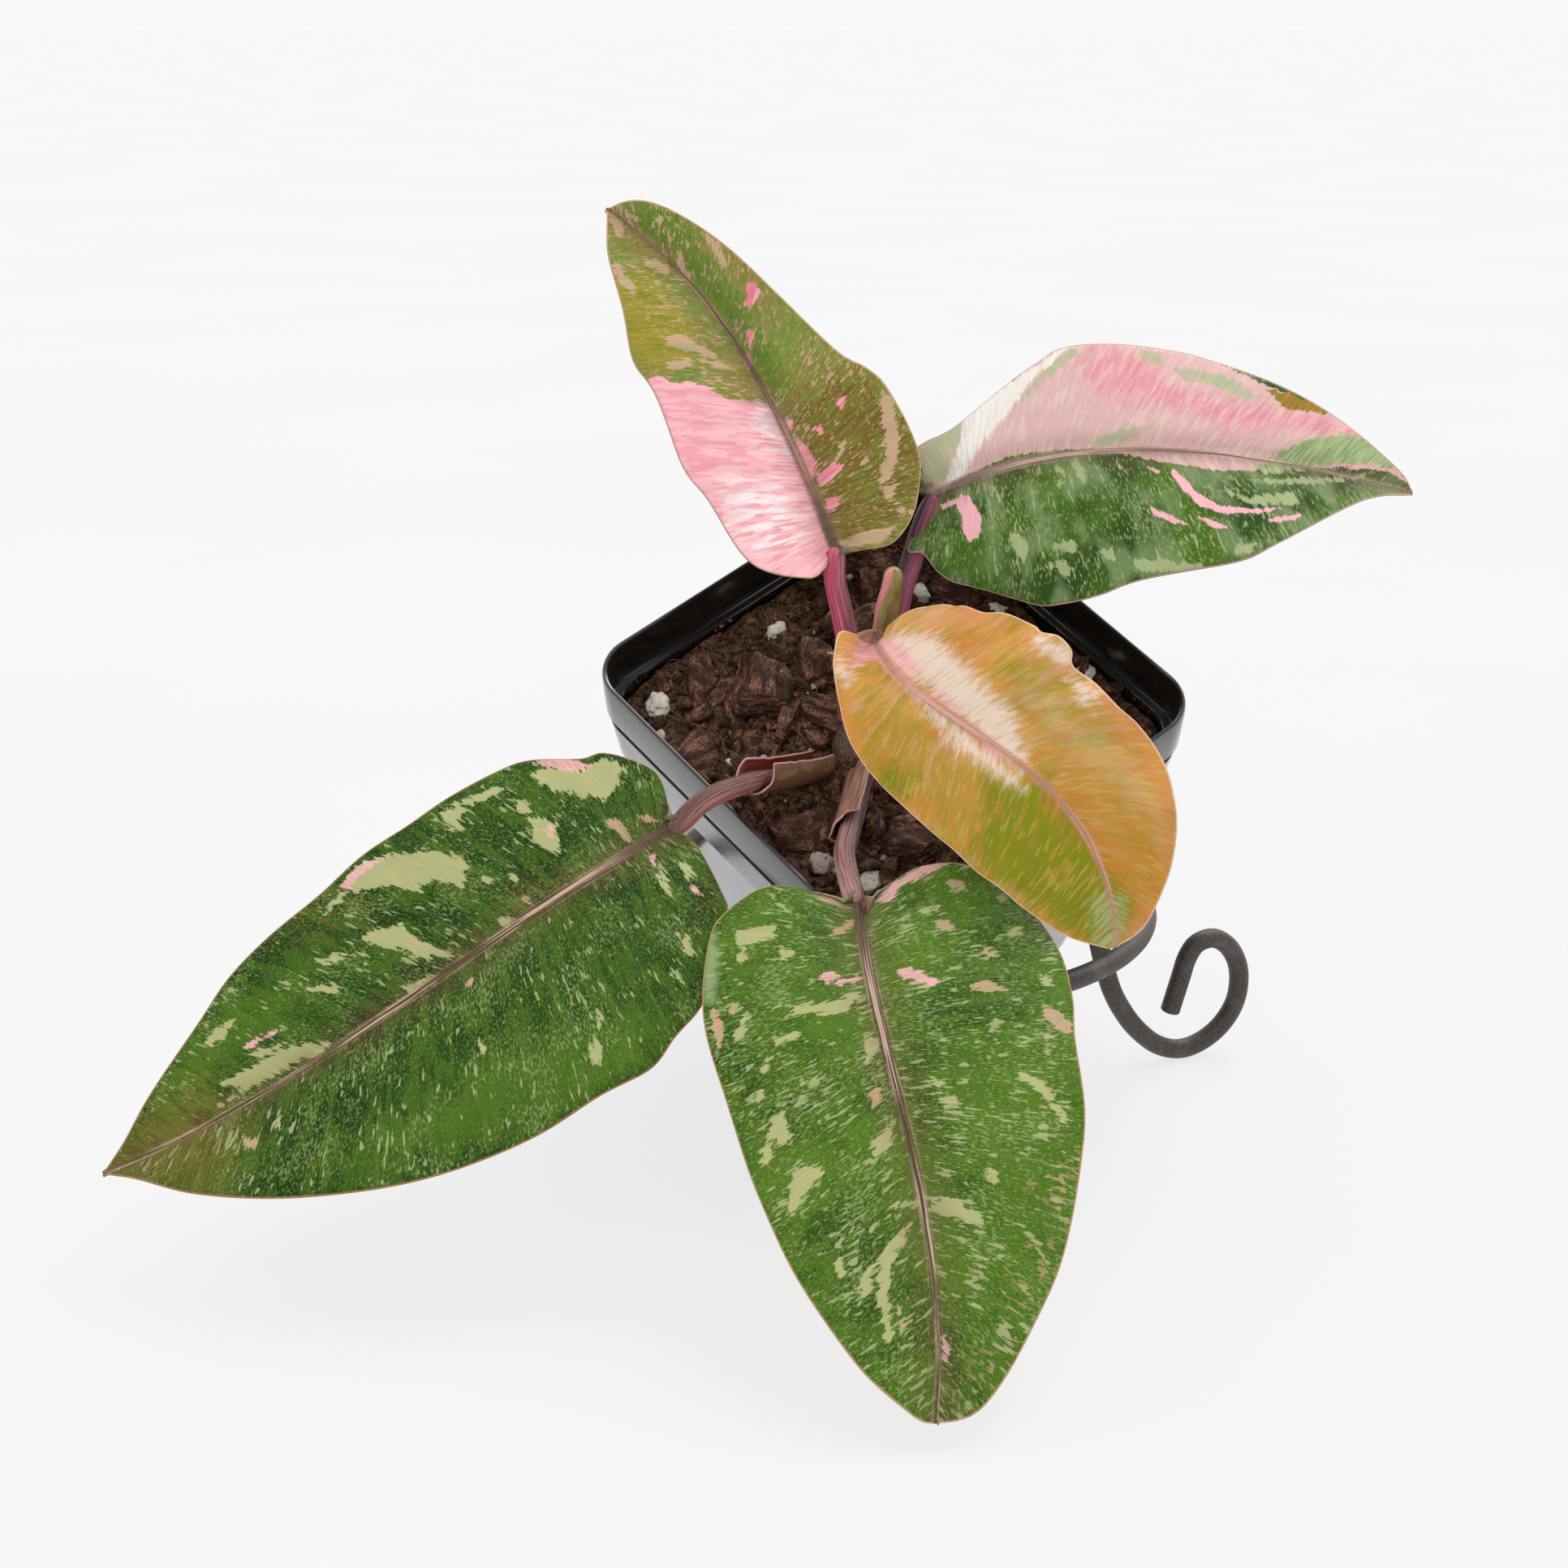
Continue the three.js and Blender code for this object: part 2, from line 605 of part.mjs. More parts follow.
// A thin curved wrap round a stretch of a stalk, which grows wider towards its free end.
function sheathSolid(path, sheath) {
  const curve = new THREE.CatmullRomCurve3(vectors(path));
  const side = new THREE.Vector3(...sheath.side);
  const rows = [];
  for (let step = 0; step <= SHEATH_STEPS; step++) {
    const share = THREE.MathUtils.lerp(...sheath.stretch, step / SHEATH_STEPS);
    const tangent = curve.getTangentAt(share);
    const centre = curve.getPointAt(share);
    centre.z += sheath.lift;
    const front = side.clone().addScaledVector(tangent, -side.dot(tangent)).normalize();
    const across = tangent.clone().cross(front);
    const taper = step === SHEATH_STEPS ? SHEATH_END_SPREAD : 1;
    const radius = sheath.radius + SHEATH_THICKNESS + SHEATH_FLARE * (step / SHEATH_STEPS);
    const row = [];
    for (let slice = 0; slice <= SHEATH_STEPS; slice++) {
      const angle = taper * sheath.spread * DEGREE * ((2 * slice) / SHEATH_STEPS - 1);
      const point = centre.clone().addScaledVector(front, radius * Math.cos(angle));
      row.push(point.addScaledVector(across, radius * Math.sin(angle)));
    }
    rows.push(row);
  }
  return solidOf(sheet(rows, SHEATH_THICKNESS, () => 0));
}

// Stand
function standRing(growth = 0) {
  const ring = new THREE.TorusGeometry(RING_RADIUS, WIRE / 2 + growth, WIRE_SIDES, RING_STEPS);
  ring.translate(0, 0, RING_HEIGHT);
  return solidOf(ring);
}

// The scroll, from its free end inside the curl, round the foot and up. It hooks over at the
// top to meet the ring from inside. Distance along the leg's plane from the foot, and height.
const SCROLL = [
  [-3.4, 13.8], [-0.8, 22.7], [0.7, 27.7], [3.2, 31.1], [7.9, 32], [12.4, 29.3], [15.6, 24.1],
  [16.5, 18.7], [15.5, 12.8], [11.9, 7.4], [6.1, 3.6], [0, 2.5], [-6.6, 4.7], [-13.2, 10.4],
  [-17.7, 16.5], [-20.7, 22.1], [-22.6, 27.5], [-24.4, 33.5], [-25.2, 38], [-23.8, 42.3],
  [-20.2, 44.4], [-15.5, 43], [-12, 42.2],
];

function standLeg() {
  const section = new THREE.Shape().absarc(0, 0, WIRE / 2, 0, 2 * Math.PI);
  const path = new THREE.CatmullRomCurve3(SCROLL.map(([out, up]) => new THREE.Vector3(out, 0, up)));
  const wire = new THREE.ExtrudeGeometry(section, {
    steps: LEG_STEPS,
    curveSegments: WIRE_SIDES / 2,
    extrudePath: path,
  });
  wire.rotateZ(LEG_PLANE);
  wire.translate(FOOT.x, FOOT.y, 0);
  return cutBy(solidOf(wire), [standRing(GAP)]);
}

// Assembly
const plant = new THREE.Group();
const stand = new THREE.Group();

function add(group, name, solid, finish) {
  const mesh = new THREE.Mesh(geometryOf(solid), new THREE.MeshStandardMaterial(finish));
  mesh.name = name;
  group.add(mesh);
  return mesh;
}

const inPot = (solid) => solid.transform(toPot.elements);
const outOfPot = (solid) => solid.transform(pot.matrixWorld.elements);

const rootCrown = crown();
const seats = [outOfPot(crown(GAP))];

for (const key of ["e", "d", "c", "a", "b"]) {
  const leaf = LEAVES[key];
  const petiole = cutBy(stalk(leaf.stalk, leaf.stalkRadii), seats);
  seats.push(stalk(leaf.stalk, leaf.stalkRadii, GAP));
  const finish = { color: leaf.stalkColor, roughness: 0.45, metalness: 0 };
  add(plant, "petiole_" + key, petiole, finish);
}

const newLeaf = cutBy(stalk(NEW_LEAF.path, NEW_LEAF.radii), seats);
seats.push(stalk(NEW_LEAF.path, NEW_LEAF.radii, GAP));
add(plant, "new_leaf", newLeaf, { color: 0x8c8436, roughness: 0.45, metalness: 0 });

const wraps = [];
for (const [key, sheath] of Object.entries(SHEATHS)) {
  const path = LEAVES[key].stalk;
  add(plant, "sheath_" + key, cutBy(sheathSolid(path, sheath), seats), SHEATH);
  const curve = new THREE.CatmullRomCurve3(vectors(path));
  const stretch = [0, 0.25, 0.5, 0.75, 1].map((step) => {
    return curve.getPointAt(THREE.MathUtils.lerp(...sheath.stretch, step)).toArray();
  });
  const outer = sheath.radius + SHEATH_THICKNESS + SHEATH_ROOM;
  wraps.push(stalk(stretch, [outer, outer], GAP));
}

for (const [key, leaf] of Object.entries(LEAVES)) {
  const finish = { color: leaf.bladeColor, roughness: 0.4, metalness: 0 };
  add(plant, "blade_" + key, cutBy(bladeSolid(leaf), seats), finish);
}

const sockets = [...seats, ...wraps].map(inPot);
const lumps = [];
BARK_CHIPS.forEach(([x, y, length, width, height, turn], index) => {
  const place = new THREE.Vector3(x, y, bumps(x, y) - SOIL_DEPTH + CHIP_SINK * height);
  const shape = [[length, width, height], place, turn, ...BROKEN_BARK, index + 1];
  lumps.push({ name: "bark_chip_", shape, finish: BARK });
});
PERLITE_GRAINS.forEach(([x, y, size], index) => {
  const place = new THREE.Vector3(x, y, bumps(x, y) - SOIL_DEPTH + GRAIN_SINK * size);
  const extents = GRAIN_SHAPE.map((share) => share * size);
  const seed = index + FIRST_GRAIN_SEED;
  const shape = [extents, place, GRAIN_TURN * index, ...ROUND_GRAIN, seed];
  lumps.push({ name: "perlite_", shape, finish: PERLITE });
});
const numbers = { bark_chip_: 0, perlite_: 0 };
for (const { name, shape, finish } of lumps) {
  numbers[name] += 1;
  const number = String(numbers[name]).padStart(2, "0");
  add(pot, name + number, cutBy(lump(...shape), sockets), finish);
  sockets.push(lump(...shape, GAP));
}

add(pot, "nursery_pot", nurseryPot(), BLACK_PLASTIC);
add(pot, "potting_mix", cutBy(mixBlock(), sockets), PEAT);
add(pot, "stem_crown", rootCrown, STEM);

add(stand, "stand_ring", standRing(), IRON);
const leg = standLeg();
for (const [side, turn] of Object.entries(LEG_TURNS)) {
  const mesh = add(stand, "stand_leg_" + side, leg, IRON);
  mesh.rotation.z = turn * DEGREE;
}

// The origin lies under the middle of the whole object, on the table.
const whole = new THREE.Group();
whole.add(pot, plant, stand);
whole.updateMatrixWorld(true);
const extent = new THREE.Box3().setFromObject(whole, true);
whole.position.set(-(extent.min.x + extent.max.x) / 2, -(extent.min.y + extent.max.y) / 2, -extent.min.z);
const model = new THREE.Group();
model.add(whole);

export default model;
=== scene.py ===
# The looks of a small variegated philodendron with five leaves in a square nursery pot, which
# leans back in a scrolled wire stand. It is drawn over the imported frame, in metres.

import math
from itertools import product

import bmesh
import bpy
import numpy as np
from mathutils import Matrix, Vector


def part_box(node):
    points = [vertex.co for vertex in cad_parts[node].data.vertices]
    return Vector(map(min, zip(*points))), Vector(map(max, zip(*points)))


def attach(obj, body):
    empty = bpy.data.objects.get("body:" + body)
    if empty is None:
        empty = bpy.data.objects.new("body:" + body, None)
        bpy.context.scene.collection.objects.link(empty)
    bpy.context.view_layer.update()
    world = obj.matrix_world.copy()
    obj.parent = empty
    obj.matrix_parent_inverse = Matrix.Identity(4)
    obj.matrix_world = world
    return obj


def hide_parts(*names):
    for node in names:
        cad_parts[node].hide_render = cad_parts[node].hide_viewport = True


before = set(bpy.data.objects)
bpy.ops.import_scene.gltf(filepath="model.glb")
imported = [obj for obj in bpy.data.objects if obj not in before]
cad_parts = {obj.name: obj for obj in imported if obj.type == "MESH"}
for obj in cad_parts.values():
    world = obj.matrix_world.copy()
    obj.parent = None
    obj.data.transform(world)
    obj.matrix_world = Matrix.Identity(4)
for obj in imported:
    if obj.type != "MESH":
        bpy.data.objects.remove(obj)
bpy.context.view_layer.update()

bl_info = {
    "name": "Potted Variegated Philodendron",
    "version": (1, 0, 0),
    "blender": (4, 5, 0),
    "location": "View3D > Sidebar > Plant",
    "description": "Builds a variegated philodendron in a nursery pot on a wire stand",
    "category": "Add Mesh",
}

RING_LOW, RING_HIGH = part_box("stand_ring")

# The maker's own frame has its origin under the middle of the stand's ring, in millimetres.
RING_HEIGHT = 42.2
ORIGIN = np.array(
    [
        (RING_LOW.x + RING_HIGH.x) / 2,
        (RING_LOW.y + RING_HIGH.y) / 2,
        (RING_LOW.z + RING_HIGH.z) / 2 - RING_HEIGHT / 1000,
    ]
)

# The nursery pot, in its own frame: the rim at height 0 and its middle at the origin.
RIM_CENTRE = np.array([-1.86, -32.85, 108.97])
POT_TILT = math.radians(36.34)
POT_LEANS_TOWARDS = math.radians(-91.77)
POT_TURN = math.radians(39.32)
POT_SHARP = math.radians(28)
DRAIN_OFFSET = 25
DRAIN_RADIUS = 4
DRILL_DEPTH = 4

# Half width, corner radius and height of each ring of the pot's shell, from the base outside,
# over the rim and down to the floor inside.
POT_RINGS = [
    (37, 11, -99), (37.7, 11.7, -98.7), (38, 12, -98), (48.4, 11, -27.2), (48.6, 11, -26.8),
    (49.6, 11, -26.3), (50.45, 11, -15.3), (50.3, 10.9, -15), (49.1, 10.4, -14.8),
    (49.1, 10.4, -13.2), (50.7, 11, -12.5), (50.95, 11, -12.2), (51, 11, -1.1),
    (50.75, 10.75, -0.3), (50.3, 10.3, 0), (49.85, 10.05, -0.3), (49.6, 9.8, -1.1),
    (49.6, 9.8, -11.8), (49.4, 9.8, -12.1), (48.1, 9.8, -12.3), (47.9, 9.8, -12.6),
    (47.3, 9.8, -27), (36.8, 9.8, -97.2), (36.2, 9.2, -97.8),
]

# The potting mix: the depth of its top under the rim, the half width and corner radius of that
# top and the points along one side of it, then the height and half width of each level below.
SOIL_DEPTH = 14.8
SOIL_HALF = 47.4
SOIL_CORNER = 9.8
SOIL_GRID = 200
SOIL_LEVELS = [(-20, 47), (-27, 46.8), (-97.3, 36.3)]
LEDGE_CRUMBS = 230
PERLITE_BITS = 70
# What loose bits are turned by at most, in radians
FULL_TURN = 6.3

# The stem: its place in the pot's plane and how far loose bits keep from it. Then the points
# round the stem, a stalk and the rolled leaf, and the radius and height of the stem's rings.
CROWN_PLACE = (-10.5, -1.5)
STEM_CLEAR = 6.5
CROWN_SIDES = 48
STALK_SIDES = 36
ROLL_SIDES = 60
CROWN_PROFILE = [
    (2, -45), (5.5, -41), (7, -30), (7, -16), (6.9, -13.5), (6.3, -12), (5.6, -10.8), (3, -9.4),
]

# Bark in the top of the mix: place in the pot's plane, length, width, height and turn.
BARK_CHIPS = [
    (-17, 27, 19, 15, 9, 52), (-27.5, 24, 19, 4.5, 5, 60), (-17, 16.5, 19, 4.5, 5, 35),
    (-10, 12, 11, 9, 6, 108), (-3, 25, 16, 10, 7, 50), (-37, -12, 15, 9, 6, 144),
    (-21, -30, 15, 12, 8, 140), (-25, -21, 16, 7, 5, 34), (-41, 22, 12, 8, 5, 107),
    (-27, 38, 16, 6, 5, 52), (25, 36, 17, 7, 6, 51), (15, 26, 13, 10, 6, 143),
    (10, -32, 16, 9, 6, 20), (29, -10, 18, 10, 7, 70), (37, 20, 14, 7, 5, 110),
    (7, -14, 12, 7, 6, -20), (19, 7, 15, 9, 6, 40),
]

# Perlite grains: place in the pot's plane and size.
PERLITE_GRAINS = [
    (-3, 38.5, 4.5), (-39, 39, 6.5), (42, 8, 6), (31, 25, 5.5), (44, -20, 5), (-34, -32, 5.5),
    (-39, -21, 6),
]

# The wire stand: the wire's diameter, the ring's radius, and one leg, which is repeated. Its
# foot has a place and a plane, and its scroll runs out from the foot and up.
WIRE = 5
RING_RADIUS = 64.3
FOOT = (75.2, -1)
LEG_PLANE = math.radians(21)
LEG_TURNS = {"right": 0, "left": 120, "front": -113}
SCROLL = [
    (-3.4, 13.8), (-0.8, 22.7), (0.7, 27.7), (3.2, 31.1), (7.9, 32), (12.4, 29.3),
    (15.6, 24.1), (16.5, 18.7), (15.5, 12.8), (11.9, 7.4), (6.1, 3.6), (0, 2.5), (-6.6, 4.7),
    (-13.2, 10.4), (-17.7, 16.5), (-20.7, 22.1), (-22.6, 27.5), (-24.4, 33.5), (-25.2, 38),
    (-23.8, 42.3), (-20.2, 44.4), (-15.5, 43), (-12, 42.2),
]

# Leaf sheaths: the stretch of the stalk that each wraps, the side that it covers, how far
# round it reaches both ways in degrees, its radius, how high it lies over the stalk and its tone.
SHEATHS = {
    "a": dict(stretch=(0.06, 0.46), side=(-0.6, -0.8, 0.1), spread=80, radius=3.8, lift=0,
              tone="#C76A72"),
    "d": dict(stretch=(0.08, 0.54), side=(0.1, 0.05, -0.99), spread=128, radius=3.8, lift=1.1,
              tone="#86694A"),
    "e": dict(stretch=(0.1, 0.5), side=(-0.8, -0.5, 0.35), spread=82, radius=3.7, lift=0,
              tone="#B48474"),
}

NEW_LEAF = {
    "path": [
        (-6.5, -32, 99.5), (-6, -35, 110), (-4.5, -37.5, 118.5), (-3.5, -41, 127.5),
        (-2.5, -43.5, 136.5),
    ],
    "radii": [2, 2.4, 2.6, 2.6, 2.5, 2.3],
}

# Leaves. The midrib is a cubic curve of four points. Each edge is an outline of distances
# along the midrib and away from it. The top face looks along a vector that turns from the
# stalk to the tip. The halves rise from the midrib by the fold, in degrees, and the curl bends
# them back down. The wave is how high the edge swings, in millimetres, and how many times.
LEAVES = {
    "a": {
        "midrib": [(-15, -28.5, 139.5), (-25.5, -4.5, 162.5), (-39, 17, 191.5), (-70, 30.5, 211)],
        "face_at_stalk": (0.05, -0.8, 0.6), "face_at_tip": (-0.05, -0.75, 0.66),
        "fold": 12, "curl": 0.003, "wave": (0.5, 3),
        "left": [
            (-4.5, 4), (-6.5, 9), (0.5, 20.5), (21, 24.5), (33.5, 27), (57, 24.5), (69, 24.5),
            (82.5, 19), (99.5, 10.5), (109.5, 0),
        ],
        "right": [
            (-1, 3), (-3, 7.5), (-3.5, 13), (1, 19), (8, 23.5), (17.5, 27), (33.5, 26.5),
            (40, 24.5), (47.5, 20), (66.5, 15), (84.5, 12.5), (95, 10.5), (102.5, 8), (107, 4.5),
            (109.5, 0),
        ],
        "stalk": [
            (-10.5, -29, 96.5), (-10.5, -28.5, 104), (-11, -28, 112), (-12, -28.5, 118),
            (-13.5, -29, 125.5), (-15, -29, 132.5), (-15, -29, 139),
        ],
        "stalk_radii": [2.8, 2.7, 2.6, 2.5],
    },
    "b": {
        "midrib": [(8, -15, 149), (41, -20, 168.5), (86.5, -22.5, 159.5), (119.5, -15, 150)],
        "face_at_stalk": (0, -0.72, 0.7), "face_at_tip": (0.15, -0.7, 0.7),
        "fold": 10, "curl": 0.005, "wave": (0.6, 3),
        "left": [
            (-3, 3), (-7, 7), (-6, 11), (2, 13.5), (11, 15), (28, 26), (36, 30), (56, 29), (68, 26),
            (94, 16), (111, 5.5), (115, 0.5),
        ],
        "right": [
            (-3, 2), (-10, 10), (-7, 13), (-5, 20), (0, 26), (17, 37), (27, 39), (37, 38), (47, 35),
            (70, 30), (81, 23), (102, 6), (115, 0.5),
        ],
        "stalk": [
            (-6.5, -28, 96), (-5, -26, 105.5), (-3, -24, 115), (-0.5, -22.5, 122), (1, -21.5, 129),
            (3, -19.5, 135), (5.5, -17, 142.5), (8, -15, 148.5),
        ],
        "stalk_radii": [2.8, 2.7, 2.6, 2.5],
    },
    "c": {
        "midrib": [(-6.5, -51, 122.5), (4.5, -77.5, 109), (40.5, -96, 111.5), (43, -97.5, 69.5)],
        "face_at_stalk": (0, -0.92, 0.4), "face_at_tip": (0.25, -0.93, 0.25),
        "fold": 8, "curl": 0.005, "wave": (0.9, 7),
        "left": [
            (-3.5, 4.5), (-4.5, 9.5), (-3.5, 14.5), (0, 20), (13.5, 23.5), (24, 26), (30.5, 27),
            (33, 26.5), (37.5, 27.5), (41.5, 26.5), (43.5, 24), (48.5, 24), (54.5, 23),
            (58.5, 23.5), (63, 23.5), (67, 22.5), (71, 20.5), (76, 18), (80.5, 15), (85.5, 10.5),
            (90, 7), (92, 4.5), (94, 0),
        ],
        "right": [
            (-2, 1.5), (-6, 2.5), (-8, 6), (5, 12.5), (18, 19), (32, 22), (51, 23.5), (63.5, 23),
            (76, 20), (84.5, 15.5), (90, 10), (94, 2),
        ],
        "stalk": [(-8.5, -31, 96), (-7.5, -37, 104.5), (-6.5, -43.5, 113.5), (-6.5, -51, 122)],
        "stalk_radii": [2.6, 2.4, 2.3],
    },
    "d": {
        "midrib": [(-51, -74, 87.5), (-91.5, -95.5, 71.5), (-127, -110, 41), (-170.5, -109.5, 23)],
        "face_at_stalk": (-0.1, -0.66, 0.74), "face_at_tip": (-0.3, -0.62, 0.72),
        "fold": 9, "curl": 0.004, "wave": (0.6, 3),
        "left": [
            (-1, 1), (-2, 7), (0, 20), (2, 26), (10, 33), (18, 40), (27, 43), (35, 46), (46, 45),
            (62, 44), (83, 38), (103, 28), (122, 15), (134, 5), (142, 0),
        ],
        "right": [
            (-1, 3), (-4, 10), (-4, 16), (2, 25), (7, 27), (16, 34), (23, 36), (35, 37), (46, 37),
            (59, 38), (72, 36), (86, 34), (100, 30), (111, 24), (121, 18), (129, 12), (136, 5),
            (142, 0),
        ],
        "stalk": [
            (-14.5, -33, 90), (-20.5, -39.5, 90), (-26, -46.5, 91), (-31.5, -53.5, 92.5),
            (-36, -59.5, 93), (-41.5, -66, 93), (-45.5, -69.5, 91.5), (-50.5, -74, 87.5),
        ],
        "stalk_radii": [1.7, 1.6, 1.6, 1.7, 2.3, 2.4, 2.4, 2.4],
    },
    "e": {
        "midrib": [(-11, -93.2, 77.4), (-9, -124.2, 57.9), (6, -154.2, 36.9), (1.5, -175.7, 5.4)],
        "face_at_stalk": (0.02, -0.82, 0.57), "face_at_tip": (0.02, -0.95, 0.31),
        "fold": 8, "curl": 0.0045, "wave": (0.6, 3),
        "left": [
            (-0.5, 2), (-7, 10.5), (-9, 16.5), (-9, 22.5), (-6.5, 28.5), (-1, 34.5), (9, 38.5),
            (20, 40.5), (32, 40), (41.5, 38), (56, 36), (66.5, 32.5), (82.5, 25.5), (93, 19),
            (108, 8.5), (111.5, 0),
        ],
        "right": [
            (-1, 4), (-5, 15), (-4.5, 21.5), (0, 28), (5, 32), (21.5, 35.5), (40.5, 34), (62, 31.5),
            (83, 26), (101.5, 15.5), (110.5, 4.5), (111.5, 0),
        ],
        "stalk": [
            (-7, -36, 90.5), (-9, -42.5, 88), (-10.5, -51.5, 85), (-12.5, -66, 83),
            (-13.5, -73.5, 82), (-13, -83, 80.2), (-11.5, -92.2, 77.4),
        ],
        "stalk_radii": [2.6, 2.5, 2.4, 2.4],
    },
}

